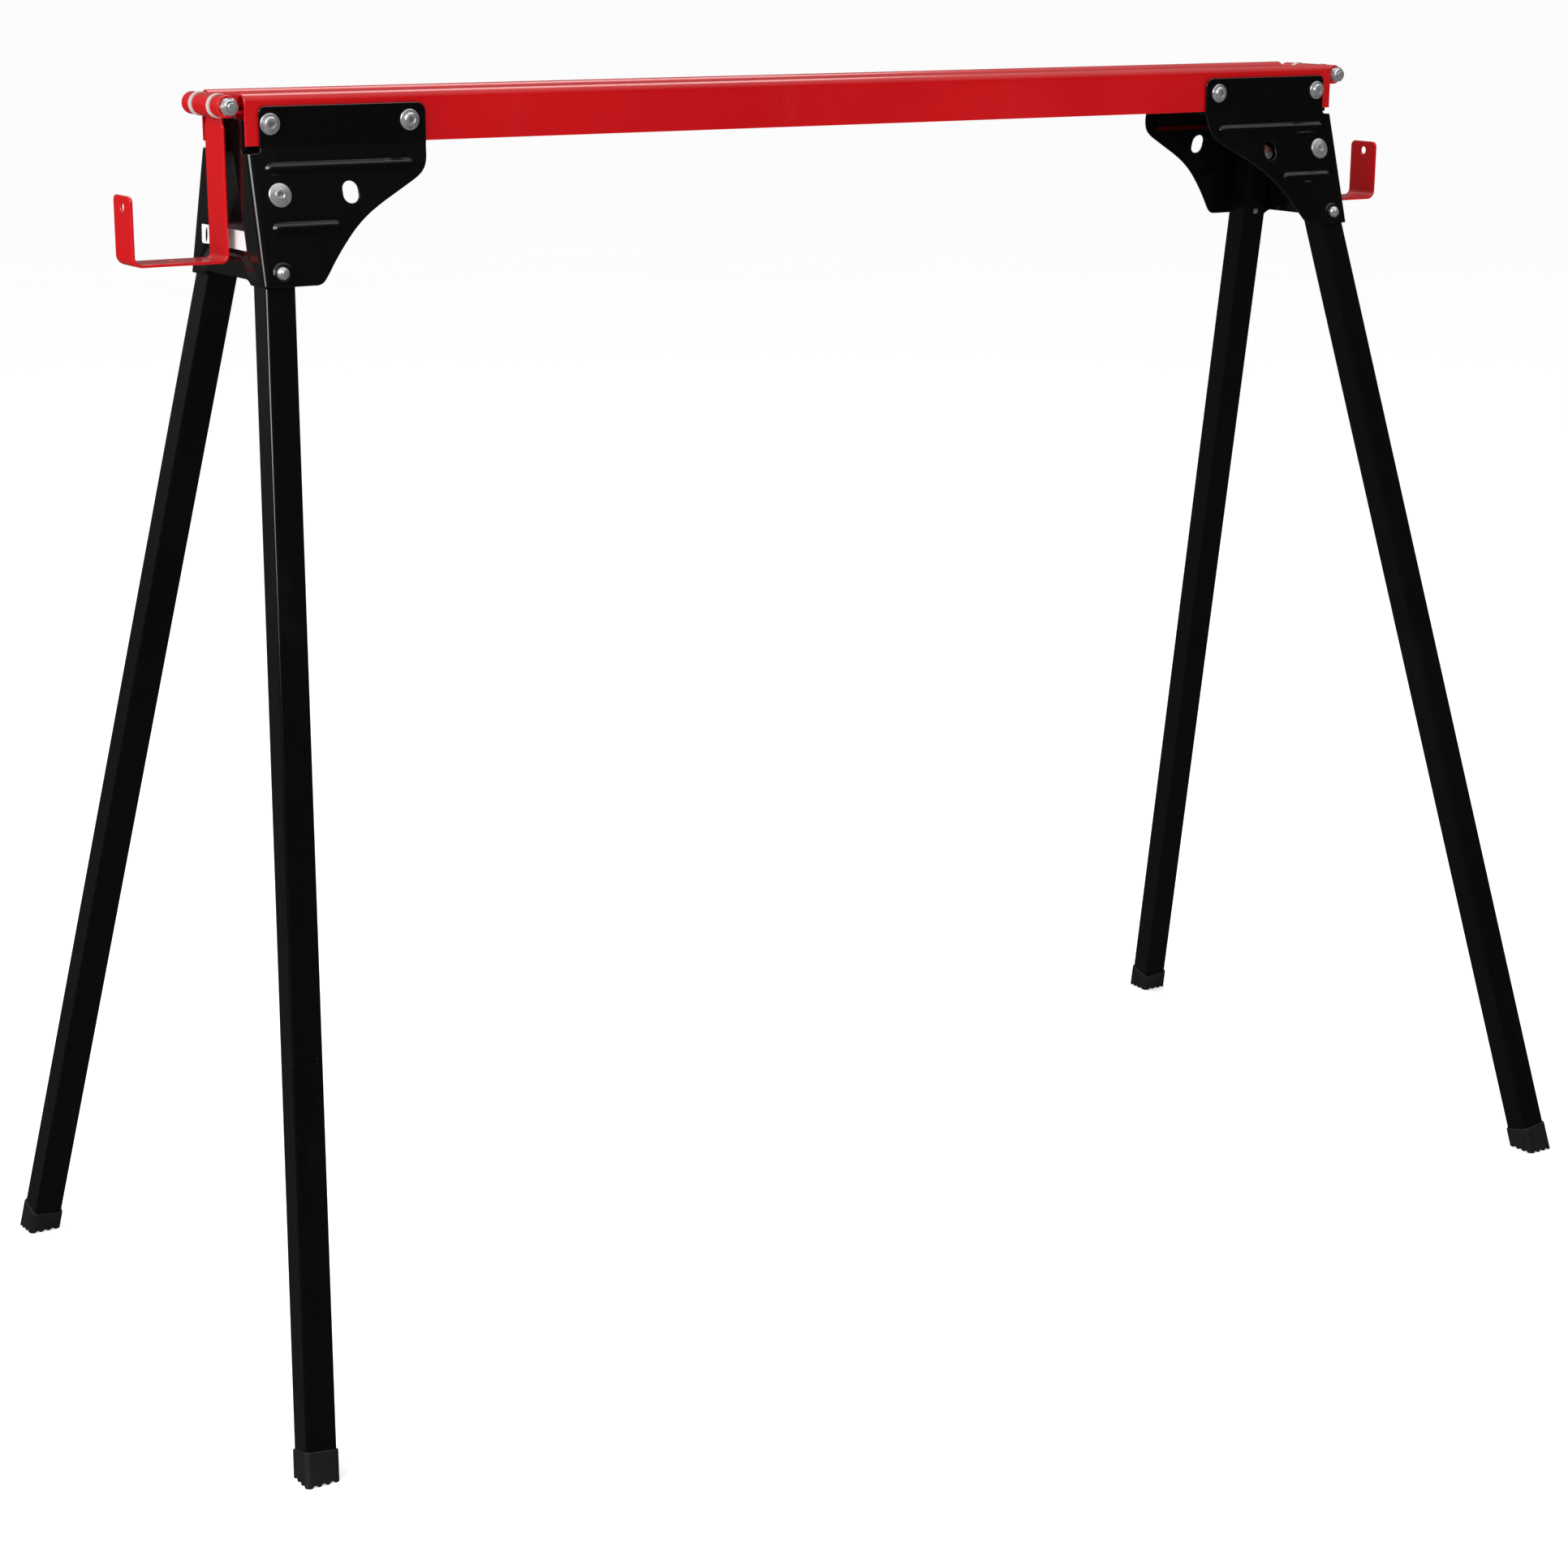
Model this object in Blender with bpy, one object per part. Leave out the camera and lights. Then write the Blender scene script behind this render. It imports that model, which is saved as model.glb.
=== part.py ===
"""Folding sawhorse: sheet-steel beam, two folded end brackets, four folding legs and two swinging side hooks.

Metres, +Z up, floor at z = 0. The beam lies along X, the front faces -Y. Lengths below are in millimetres.
"""

import math

import bmesh
import bpy
from mathutils import Matrix, Vector
from mathutils.geometry import delaunay_2d_cdt

MM = 0.001

# Beam
HEIGHT = 810.0  # ridge crests above the floor
BEAM_HALF = 437.5
BEAM_W = 32.6  # half width
BEAM_H = 31.4
BEAM_T = 1.6
RIDGE_R = 6.3  # outer radius of each ridge
VALLEY = 8.2  # valley floor below the crests
VALLEY_R = 1.9  # radius at the foot of a ridge

# Brackets. s runs down a plate from its bend, x inwards from the beam's end.
PLATE_T = 1.6
PLATE_GAP = 0.2
BEND_Z = 32.3  # bend below the crests
SPLAY = math.radians(15.23)  # plates, sideways
BEND_R = 4.0
FLANGE_X = (8.4, 121.0)
FLANGE_TOP = 24.6
PLATE_BOTTOM = 85.3
NOTCH_S = 3.2
FOLD_R = 3.2
WALL_X = 0.6  # mid surface of the end wall at the bend
WALL_LEAN = 1.6 / 85.0  # outwards per mm of s
WALL_PARAM = 30.0  # half width given to the end wall in the flat pattern
WALL_TOP = 15.5  # below the crests
WALL_TOP_Y = 28.5
RETURN_DEPTH = 2.5
WALL_ARCH = ((-36.0, 114.6), (-32.5, 112.4), (-29.5, 111.5))  # (y, below the crests)

# Shapes pressed into the brackets
RIBS = ((10.0, 110.5, 13.2, 3.9), (9.3, 55.0, 49.8, 3.9))  # (from x, to x, s, half width)
RIB_H = 1.5
RIB_SLOPE = 1.9
RING = ((0.7, 0.3), 7.1, 6.1, 0.8)  # (offset from the button, foot radius, top radius, height)
PANEL_FOOT = ((-14.0, 35.5, 3), (14.0, 35.5, 3), (33.0, 99.5, 6), (-33.0, 99.5, 6))  # (y, below, radius)
PANEL_TOP = ((-12.2, 37.5, 2), (12.2, 37.5, 2), (30.6, 97.5, 5), (-30.6, 97.5, 5))
PANEL_DEPTH = 1.4

# Bolts
BOLT_R = 3.0
HOLE_R = 3.25
BEAM_BOLTS = (15.3, 109.6)
BEAM_BOLT_Z = 18.2
NUT_AF = 10.0
SEAT = 0.15  # gap under heads and nuts

# Legs
PIVOT = (16.9, 29.4)
LEG_SPLAY = math.radians(6.76)  # endways, in the plane of the plate
LEG_GAP = 1.5
TUBE = 20.0
TUBE_T = 1.4
TUBE_R = 2.2
LEG_TOP = -10.0
LEG_END = 769.0
BUTTON_Q = 47.9
BUTTON_R = 4.0
BUTTON_OUT = 7.2
SLOT = (64.6, 29.1, 5.3, 14.0)
CAP_TOP = 760.8
CAP = 22.4
CAP_GAP = 0.15
TREAD = (-5.6, 0.0, 5.6)

# Side hooks. o runs outwards from the beam's end.
HINGE = (8.7, 7.7)  # outwards from the end, below the crests
STRAP_T = 2.0
KNUCKLE_R = 5.9  # mid surface
STRAP_O = 5.75
STRAP_Y = 13.5
KNUCKLE_Y = 11.3
SHOULDER_Z = 19.0
FOOT_Z = 102.0
TIP_O = 67.3
TIP_Z = 60.0
LEAF_Y = 27.2
LEAF_GAP_Y = 15.7
LEAF_Z = 11.0
LEAF_END = -38.0
STRAP_JOG_R = 7.0
LEAF_JOG_R = 6.0
FOOT_BEND_R = 4.0
TIP_BEND_R = 5.5
TIP_CORNER = 4.0
FOOT_HOLE = (37.9, 2.5)  # (o, radius)
TIP_HOLE = (6.9, 2.75)  # (below the tip's top, radius)
SLEEVE_R = 4.65
SLEEVE_BORE = 3.15
SLEEVE_L = 8.0
FLANGE_R = 7.4
SIDE_GAP = 0.2

FINISHES = {
    "red_paint": ((0.62, 0.012, 0.02, 1.0), 0.28, 0.0),
    "black_paint": ((0.012, 0.012, 0.014, 1.0), 0.22, 0.0),
    "zinc": ((0.72, 0.73, 0.74, 1.0), 0.25, 1.0),
    "spring_steel": ((0.42, 0.43, 0.45, 1.0), 0.35, 1.0),
    "cap_rubber": ((0.02, 0.02, 0.02, 1.0), 0.75, 0.0),
    "nylon": ((0.85, 0.83, 0.82, 1.0), 0.4, 0.0),
}


def clear_scene():
    for obj in list(bpy.data.objects):
        bpy.data.objects.remove(obj, do_unlink=True)


def finish(name, slot):
    """A Principled material for one object."""
    colour, rough, metal = FINISHES[slot]
    mat = bpy.data.materials.new(name + "_" + slot)
    mat.use_nodes = True
    shader = mat.node_tree.nodes["Principled BSDF"]
    shader.inputs["Base Color"].default_value = colour
    shader.inputs["Roughness"].default_value = rough
    shader.inputs["Metallic"].default_value = metal
    mat.diffuse_color = colour
    return mat


def add_object(name, mesh, slot, matrix=None, smooth=True):
    """Links a mesh in millimetres as an object in metres, its origin where the matrix puts it."""
    mesh.transform(Matrix.Scale(MM, 4))
    mesh.materials.append(finish(name, slot))
    if smooth:
        mesh.shade_smooth()
        mesh.set_sharp_from_angle(angle=math.radians(32))
    obj = bpy.data.objects.new(name, mesh)
    bpy.context.scene.collection.objects.link(obj)
    if matrix is not None:
        place = matrix.copy()
        place.translation = matrix.translation * MM
        obj.matrix_world = place
    return obj


def mesh_from(name, verts, faces):
    bm = bmesh.new()
    made = [bm.verts.new(v) for v in verts]
    for face in faces:
        bm.faces.new([made[i] for i in face])
    bmesh.ops.remove_doubles(bm, verts=bm.verts, dist=1e-4)
    bmesh.ops.recalc_face_normals(bm, faces=bm.faces)
    if bm.calc_volume(signed=True) < 0:
        bmesh.ops.reverse_faces(bm, faces=bm.faces)
    mesh = bpy.data.meshes.new(name)
    bm.to_mesh(mesh)
    bm.free()
    return mesh


def combined(base, tool, operation):
    """The Boolean of two meshes, with both used up."""
    holder = bpy.data.objects.new("base", base)
    cutter = bpy.data.objects.new("tool", tool)
    for obj in (holder, cutter):
        bpy.context.scene.collection.objects.link(obj)
    modifier = holder.modifiers.new("cut", "BOOLEAN")
    modifier.operation = operation
    modifier.solver = "EXACT"
    modifier.object = cutter
    graph = bpy.context.evaluated_depsgraph_get()
    mesh = bpy.data.meshes.new_from_object(holder.evaluated_get(graph))
    for obj in (holder, cutter):
        bpy.data.objects.remove(obj, do_unlink=True)
    for used in (base, tool):
        bpy.data.meshes.remove(used)
    bm = bmesh.new()
    bm.from_mesh(mesh)
    bmesh.ops.remove_doubles(bm, verts=bm.verts, dist=1e-3)
    bmesh.ops.dissolve_degenerate(bm, edges=bm.edges, dist=1e-3)
    bm.to_mesh(mesh)
    bm.free()
    return mesh


def cut(base, *tools):
    for tool in tools:
        base = combined(base, tool, "DIFFERENCE")
    return base


# ---- flat shapes ----


def circle(cx, cy, r, count=24, start=0.0):
    angles = [start + 2 * math.pi * i / count for i in range(count)]
    return [(cx + r * math.cos(a), cy + r * math.sin(a)) for a in angles]


def stadium(x0, x1, y, r, steps=6):
    """A bar from x0 to x1 with round ends of radius r."""
    points = []
    for cx, start in ((x1 - r, -math.pi / 2), (x0 + r, math.pi / 2)):
        for i in range(steps + 1):
            a = start + math.pi * i / steps
            points.append((cx + r * math.cos(a), y + r * math.sin(a)))
    return points


def rounded(corners, steps=4):
    """A closed outline through (x, y, radius) corners, each rounded by its radius."""
    points = []
    count = len(corners)
    for i, (x, y, r) in enumerate(corners):
        here = Vector((x, y))
        if r <= 0:
            points.append((x, y))
            continue
        before = (Vector(corners[i - 1][:2]) - here).normalized()
        after = (Vector(corners[(i + 1) % count][:2]) - here).normalized()
        half = before.angle(after) / 2
        reach = r / math.tan(half)
        centre = here + (before + after).normalized() * (r / math.sin(half))
        first, last = here + before * reach - centre, here + after * reach - centre
        turn = first.angle_signed(last)
        for k in range(steps + 1):
            a = -turn * k / steps
            points.append(
                (
                    centre.x + first.x * math.cos(a) - first.y * math.sin(a),
                    centre.y + first.x * math.sin(a) + first.y * math.cos(a),
                )
            )
    return points


def inside(point, loop):
    x, y = point
    found = False
    for (x0, y0), (x1, y1) in zip(loop, loop[1:] + loop[:1]):
        if (y0 > y) != (y1 > y) and x < x0 + (y - y0) * (x1 - x0) / (y1 - y0):
            found = not found
    return found


def near_loop(point, loop, within=1e-4):
    p = Vector(point)
    for a, b in zip(loop, loop[1:] + loop[:1]):
        a, b = Vector(a), Vector(b)
        edge = b - a
        t = max(0.0, min(1.0, (p - a).dot(edge) / edge.length_squared))
        if (a + edge * t - p).length < within:
            return True
    return False


def sheet(name, surface, outline, holes, creases, thickness, raised=()):
    """Bends a flat pattern into a sheet of even thickness.

    surface(u, v) gives the mid surface's point and its offset direction. creases are segments along which the
    surface changes direction. raised holds (foot loop, top loop, height) for each embossed shape.
    """
    points, edges = [], []

    def add(chain, closed):
        base = len(points)
        points.extend(Vector(p) for p in chain)
        last = len(chain) if closed else len(chain) - 1
        edges.extend((base + i, base + (i + 1) % len(chain)) for i in range(last))

    loops = [outline, *holes]
    for loop in loops:
        add(loop, True)
    for foot, top, _ in raised:
        add(foot, True)
        add(top, True)
    for crease in creases:
        add(crease, False)
    verts, _, tris, *_ = delaunay_2d_cdt(points, edges, [], 0, 1e-5)
    kept = []
    for tri in tris:
        centre = sum((verts[i] for i in tri), Vector((0, 0))) / 3
        if sum(inside(centre, loop) for loop in loops) % 2 and inside(centre, outline):
            kept.append(tri)
    used = sorted({i for tri in kept for i in tri})
    number = {old: new for new, old in enumerate(used)}
    front, back = [], []
    for i in used:
        p, n = surface(verts[i].x, verts[i].y)
        lift = sum(
            h for _, top, h in raised if inside(verts[i], top) or near_loop(verts[i], top)
        )
        front.append(p + n * (lift + thickness / 2))
        back.append(p + n * (lift - thickness / 2))
    count = len(used)
    faces, sides = [], {}
    for tri in kept:
        a, b, c = (number[i] for i in tri)
        faces.append((a, b, c))
        faces.append((c + count, b + count, a + count))
        for e in ((a, b), (b, c), (c, a)):
            if (e[1], e[0]) in sides:
                del sides[(e[1], e[0])]
            else:
                sides[e] = True
    for a, b in sides:
        faces.append((b, a, a + count, b + count))
    return mesh_from(name, front + back, faces)


class Path:
    """A polyline with mitred offsets, read by its length."""

    def __init__(self, points):
        self.points = [Vector(p) for p in points]
        self.lengths = [0.0]
        for a, b in zip(self.points, self.points[1:]):
            self.lengths.append(self.lengths[-1] + (b - a).length)
        normals = [Vector((-(b - a).y, (b - a).x)).normalized() for a, b in zip(self.points, self.points[1:])]
        self.offsets = [normals[0]]
        for n0, n1 in zip(normals, normals[1:]):
            mean = (n0 + n1).normalized()
            self.offsets.append(mean / mean.dot(n0))
        self.offsets.append(normals[-1])

    def at(self, u):
        lengths = self.lengths
        i = 0
        while i < len(lengths) - 2 and u > lengths[i + 1]:
            i += 1
        t = (u - lengths[i]) / (lengths[i + 1] - lengths[i])
        p = self.points[i].lerp(self.points[i + 1], t)
        n = self.offsets[i].lerp(self.offsets[i + 1], t)
        return p, n

    def creases(self, low, high):
        return [[(u, low), (u, high)] for u in self.lengths[1:-1]]


def arc(cx, cy, r, a0, a1, steps):
    """Points along an arc, in degrees, both ends included."""
    angles = [math.radians(a0 + (a1 - a0) * i / steps) for i in range(steps + 1)]
    return [(cx + r * math.cos(a), cy + r * math.sin(a)) for a in angles]


# ---- solids ----


def prism(name, loop, low, high, matrix=None):
    """A loop in the XY plane, extruded from z = low to z = high, then placed by the matrix."""
    count = len(loop)
    verts = [Vector((x, y, z)) for z in (low, high) for x, y in loop]
    if matrix is not None:
        verts = [matrix @ v for v in verts]
    faces = [tuple(range(count))[::-1], tuple(range(count, 2 * count))]
    faces += [(i, (i + 1) % count, (i + 1) % count + count, i + count) for i in range(count)]
    return mesh_from(name, verts, faces)


def lathe(name, profile, matrix=None, segments=24, closed=False):
    """A profile of (radius, z) turned about Z. An open profile starts and ends on the axis."""
    verts, rings = [], []
    for r, z in profile:
        ring = []
        count = 1 if r < 1e-6 else segments
        for i in range(count):
            a = 2 * math.pi * (i + 0.5) / segments
            ring.append(len(verts))
            verts.append(Vector((r * math.cos(a), r * math.sin(a), z)))
        rings.append(ring)
    faces = []
    pairs = list(zip(rings, rings[1:] + (rings[:1] if closed else [])))
    for low, high in pairs if closed else pairs[: len(rings) - 1]:
        for i in range(segments):
            j = (i + 1) % segments
            quad = [low[i % len(low)], low[j % len(low)], high[j % len(high)], high[i % len(high)]]
            face = list(dict.fromkeys(quad))
            if len(face) > 2:
                faces.append(face)
    if matrix is not None:
        verts = [matrix @ v for v in verts]
    return mesh_from(name, verts, faces)


def cylinder(r, low, high, matrix=None, segments=24):
    return lathe("cylinder", [(0, low), (r, low), (r, high), (0, high)], matrix, segments)


def hexagon(af):
    return circle(0, 0, af / math.sqrt(3), 6)


def frame_of(origin, x, y, z):
    m = Matrix.Identity(4)
    for column, axis in enumerate((x, y, z)):
        for row in range(3):
            m[row][column] = axis[row]
    m.translation = Vector(origin)
    return m


def mirror(mesh, end):
    """Turns a shape made for the left end (end -1) into the one for the right end (+1)."""
    if end > 0:
        mesh.transform(Matrix.Scale(-1, 4, (1, 0, 0)))
        mesh.flip_normals()
    return mesh


# ---- beam ----


def beam_path():
    """The beam's section in (y, z), front bottom edge to rear bottom edge, with its normals outwards."""
    t = BEAM_T / 2
    ridge, foot = RIDGE_R - t, VALLEY_R + t
    steps = 12
    front_y = BEAM_W - t
    ridge_y = BEAM_W - RIDGE_R
    ridge_z = HEIGHT - RIDGE_R
    step = 180.0 / steps
    out = ridge / math.cos(math.radians(step / 2))
    ridge_points = arc(-ridge_y, ridge_z, out, 180 - step / 2, step / 2, steps - 1)
    foot_y = -ridge_y + ridge + foot
    foot_z = HEIGHT - VALLEY - t + foot
    step = 30.0
    out = foot / math.cos(math.radians(step / 2))
    foot_points = arc(foot_y, foot_z, out, 180 + step / 2, 270 - step / 2, 2)
    half = [(-front_y, HEIGHT - BEAM_H), *ridge_points, *foot_points]
    return Path(half + [(-y, z) for y, z in reversed(half)])


def build_beam():
    path = beam_path()
    total = path.lengths[-1]

    def surface(u, v):
        p, n = path.at(u)
        return Vector((v, p.x, p.y)), Vector((0, n.x, n.y))

    outline = [(0, -BEAM_HALF), (total, -BEAM_HALF), (total, BEAM_HALF), (0, BEAM_HALF)]
    up = BEAM_H - BEAM_BOLT_Z
    holes = [
        circle(u, end * (BEAM_HALF - x), HOLE_R, 12)
        for u in (up, total - up)
        for end in (-1, 1)
        for x in BEAM_BOLTS
    ]
    mesh = sheet("beam", surface, outline, holes, path.creases(-BEAM_HALF - 1, BEAM_HALF + 1), BEAM_T)
    return add_object("beam", mesh, "red_paint")


# ---- brackets ----


def plate_path():
    """The bent plate's mid surface as (half width, z) by s."""
    mid = BEAM_W + PLATE_GAP + PLATE_T / 2
    bend = HEIGHT - BEND_Z
    reach = BEND_R * math.tan(SPLAY / 2)
    top = [(mid, bend + FLANGE_TOP + 1)]
    curve = [
        (mid + BEND_R * (1 - math.cos(a)), bend + reach - BEND_R * math.sin(a))
        for a in (0.0, SPLAY / 3, SPLAY * 2 / 3, SPLAY)
    ]
    down = PLATE_BOTTOM + 5
    end = [(mid + down * math.sin(SPLAY), bend - down * math.cos(SPLAY))]
    return Path(top + curve + end)


class Bracket:
    def __init__(self):
        self.path = plate_path()
        self.zero = self.path.lengths[1] + BEND_R * math.tan(SPLAY / 2)

    def section(self, s):
        p, n = self.path.at(s + self.zero)
        return p, n

    def wall_x(self, s):
        return WALL_X - WALL_LEAN * s

    def wall_half(self, s):
        return self.section(s)[0].x - FOLD_R

    def from_plate(self, x, s, side):
        a = x - self.wall_x(s)
        return (a, s) if side < 0 else (-2 * WALL_PARAM - a, s)

    def from_wall(self, y, below):
        """The flat pattern's point for a point of the end wall, y across and a depth below the crests."""
        z = HEIGHT - below
        bend = HEIGHT - BEND_Z
        s = (bend - z) / (math.cos(SPLAY) if z < bend else 1.0)
        return (-WALL_PARAM * (1 + y / self.wall_half(s)), s)

    def surface(self, a, s):
        side = -1
        if a < -WALL_PARAM:
            side, a = 1, -2 * WALL_PARAM - a
        p, n = self.section(s)
        x0 = self.wall_x(s)
        half, z = p.x, p.y
        if a >= FOLD_R:
            point, normal = Vector((a + x0, half, z)), Vector((0, n.x, n.y))
        elif a > 0:
            turn = (1 - a / FOLD_R) * math.pi / 2
            point = Vector((x0 + FOLD_R * (1 - math.sin(turn)), half - FOLD_R * (1 - math.cos(turn)), z))
            normal = Vector((-math.sin(turn), n.x * math.cos(turn), n.y * math.cos(turn)))
        else:
            across = (half - FOLD_R) * (1 + a / WALL_PARAM)
            fold = WALL_TOP_Y - 2.0
            if s < NOTCH_S - 1.0 and across > fold:
                past = across - fold
                turn = min(past / 3.0, 1.0) * math.pi / 2
                inward = 2.0 * (1 - math.cos(turn)) + max(past - 3.0, 0.0)
                point = Vector((x0 + inward, fold + 2.0 * math.sin(turn), z))
                normal = Vector((-math.cos(turn), math.sin(turn), 0))
            else:
                point, normal = Vector((x0, across, z)), Vector((-1, 0, 0))
        point.x -= BEAM_HALF
        point.y *= side
        normal.y *= side
        return point, normal

    def plate_outline(self):
        """From the end wall's lower corner round the plate to the notch, as (x, s)."""
        lower = [
            (20.0, PLATE_BOTTOM), (34.0, PLATE_BOTTOM), (36.6, 84.6), (39.0, 82.9), (42.2, 79.0),
            (47.8, 71.3), (55.5, 61.8), (64.5, 52.0), (74.0, 43.9), (84.0, 37.3), (94.0, 31.6),
            (104.0, 26.0), (111.0, 21.9), (115.6, 18.2), (118.4, 13.9), (119.8, 9.0), (120.4, 4.0),
            (121.0, 0.0),
        ]
        flange = [
            (121.0, -FLANGE_TOP + 6.0), *arc(115.0, -FLANGE_TOP + 6.0, 6.0, 0, -90, 4)[1:],
            *arc(FLANGE_X[0] + 4.0, -FLANGE_TOP + 4.0, 4.0, -90, -180, 4),
            (FLANGE_X[0], NOTCH_S - 1.5), (FLANGE_X[0] - 0.4, NOTCH_S - 0.4), (FLANGE_X[0] - 1.5, NOTCH_S),
        ]
        return lower + flange

    def outline(self):
        """The flat pattern: front half, rear half mirrored, then the end wall's arched lower edge."""
        foot = [(0.0, PLATE_BOTTOM), (FOLD_R, PLATE_BOTTOM)]
        plate = [self.from_plate(x, s, -1) for x, s in self.plate_outline()]
        notch = [(FOLD_R, NOTCH_S + 0.3), (0.0, NOTCH_S + 0.6)]
        slit, free = (
            -WALL_PARAM * (1 - y / self.wall_half(0))
            for y in (WALL_TOP_Y - 3.0, WALL_TOP_Y + RETURN_DEPTH - 1.0)
        )
        top = WALL_TOP - BEND_Z
        upper = [
            (slit, NOTCH_S + 0.6), (slit, NOTCH_S - 1.4), (free, NOTCH_S - 1.4), (free, top + 2.5),
            (free - 1.2, top),
        ]
        half = foot + plate + notch + upper
        arch = [self.from_wall(y, below) for y, below in WALL_ARCH]
        mirrored = [[(-2 * WALL_PARAM - a, s) for a, s in chain] for chain in (half, arch)]
        return half + mirrored[0][::-1] + mirrored[1] + arch[::-1]


def emboss_bar(bracket, rib, side):
    x0, x1, s, half = rib
    foot = [bracket.from_plate(x, v, side) for x, v in stadium(x0, x1, s, half)]
    narrow = stadium(x0 + RIB_SLOPE, x1 - RIB_SLOPE, s, half - RIB_SLOPE)
    return foot, [bracket.from_plate(x, v, side) for x, v in narrow], RIB_H


def build_bracket(end):
    bracket = Bracket()
    button = (PIVOT[0] - BUTTON_Q * math.sin(LEG_SPLAY), PIVOT[1] + BUTTON_Q * math.cos(LEG_SPLAY))
    holes, raised = [], []
    for side in (-1, 1):
        place = lambda loop: [bracket.from_plate(x, s, side) for x, s in loop]
        holes.append(place(circle(*PIVOT, HOLE_R, 12)))
        holes.append(place(circle(*button, BUTTON_R + 0.45, 20)))
        x, s, r, tall = SLOT
        holes.append(place([(x - q, s + p) for p, q in stadium(-tall / 2, tall / 2, 0, r)]))
        for bolt in BEAM_BOLTS:
            holes.append(place(circle(bolt, BEAM_BOLT_Z - BEND_Z, HOLE_R, 12)))
        raised += [emboss_bar(bracket, rib, side) for rib in RIBS]
        offset, foot_r, top_r, height = RING
        ring = (button[0] + offset[0], button[1] + offset[1])
        raised.append((place(circle(*ring, foot_r, 20)), place(circle(*ring, top_r, 20)), height))
    foot = [bracket.from_wall(y, z) for y, z in rounded(PANEL_FOOT)]
    top = [bracket.from_wall(y, z) for y, z in rounded(PANEL_TOP)]
    raised.append((foot, top, -PANEL_DEPTH))
    low, high = -FLANGE_TOP - 5, PLATE_BOTTOM + 5
    left, right = -2 * WALL_PARAM - 130, 130
    creases = [[(left, s - bracket.zero), (right, s - bracket.zero)] for s in bracket.path.lengths[1:-1]]
    folds = [FOLD_R * k / 4 for k in range(5)]
    creases += [[(a, low), (a, high)] for a in folds + [-2 * WALL_PARAM - a for a in folds]]
    for k in range(5):
        y = WALL_TOP_Y - 2.0 + 3.0 * k / 4
        a = -WALL_PARAM * (1 - y / bracket.wall_half(0))
        for c in (a, -2 * WALL_PARAM - a):
            creases.append([(c, WALL_TOP - BEND_Z - 3), (c, NOTCH_S - 1.4)])
    mesh = sheet("bracket", bracket.surface, bracket.outline(), holes, creases, PLATE_T, raised)
    name = "bracket_left" if end < 0 else "bracket_right"
    return add_object(name, mirror(mesh, end), "black_paint")


# ---- fasteners ----


def flat(name, outline, hole, low, high, matrix=None):
    """An outline with a hole in it, from z = low to z = high."""
    middle = (low + high) / 2
    surface = lambda u, v: (Vector((u, v, middle)), Vector((0, 0, 1)))
    mesh = sheet(name, surface, outline, [hole], [], high - low)
    if matrix is not None:
        mesh.transform(matrix)
    return mesh


def bolt(name, profile, tail, socket_top, socket_depth, place):
    """A lathed head on a shank, with a hexagon socket. Z points outwards from the clamped face."""
    shank = [(0, tail), (BOLT_R - 0.4, tail), (BOLT_R, tail + 0.5), (BOLT_R, SEAT)]
    body = lathe(name, [*shank, *profile], None, 16)
    socket = prism("socket", hexagon(4.0), socket_top - socket_depth, socket_top + 1)
    return add_object(name, cut(body, socket), "zinc", place)


def nut(name, low, high, place):
    mesh = flat(name, hexagon(NUT_AF), circle(0, 0, BOLT_R + 0.15, 16), low, high)
    return add_object(name, mesh, "zinc", place)


def build_beam_bolts():
    head = [(6.6, SEAT), (6.6, 0.9), (5.1, 1.2), (4.8, 2.6), (3.5, 3.7), (0, 3.7)]
    outer = BEAM_W + PLATE_GAP + PLATE_T
    inner = outer - BEAM_W + BEAM_T
    for side, row in ((-1, "front"), (1, "rear")):
        for end, where in ((-1, "left"), (1, "right")):
            for number, x in enumerate(BEAM_BOLTS, 1):
                at = (end * (BEAM_HALF - x), side * outer, HEIGHT - BEAM_BOLT_Z)
                place = frame_of(at, (1, 0, 0), (0, 0, -side), (0, side, 0))
                label = f"{row}_{where}_{number}"
                bolt("beam_bolt_" + label, head, -inner - 6.4, 3.7, 2.2, place)
                turned = place @ Matrix.Rotation(math.radians(30), 4, "Z")
                nut("beam_nut_" + label, -inner - 5.2, -inner - SEAT, turned)


# ---- legs ----


def plate_axes(end, side):
    """Inwards along the beam, down the plate and outwards from it."""
    inwards = Vector((-end, 0, 0))
    down = Vector((0, side * math.sin(SPLAY), -math.cos(SPLAY)))
    outwards = Vector((0, side * math.cos(SPLAY), math.sin(SPLAY)))
    return inwards, down, outwards


def leg_frame(end, side):
    """Origin on the pivot axis at the tube's outer face. Z runs down the leg, Y out through the plate."""
    inwards, down, outwards = plate_axes(end, side)
    half, z = Bracket().section(PIVOT[1])[0]
    point = Vector((end * (BEAM_HALF - PIVOT[0]), side * half, z)) - outwards * (PLATE_T / 2 + LEG_GAP)
    along = down * math.cos(LEG_SPLAY) - inwards * math.sin(LEG_SPLAY)
    return frame_of(point, outwards.cross(along), outwards, along)


def through(q, high=0.0):
    """A matrix that lays Z along the leg frame's Y at a distance q down the leg."""
    return frame_of((0, high, q), (0, 0, 1), (1, 0, 0), (0, 1, 0))


def square(size, r, steps=3):
    h = size / 2
    middle = -TUBE / 2
    corners = [(-h, middle - h, r), (h, middle - h, r), (h, middle + h, r), (-h, middle + h, r)]
    return rounded(corners, steps)


def hang(obj, parent, location=(0, 0, 0)):
    obj.parent = parent
    obj.location = Vector(location) * MM


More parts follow.
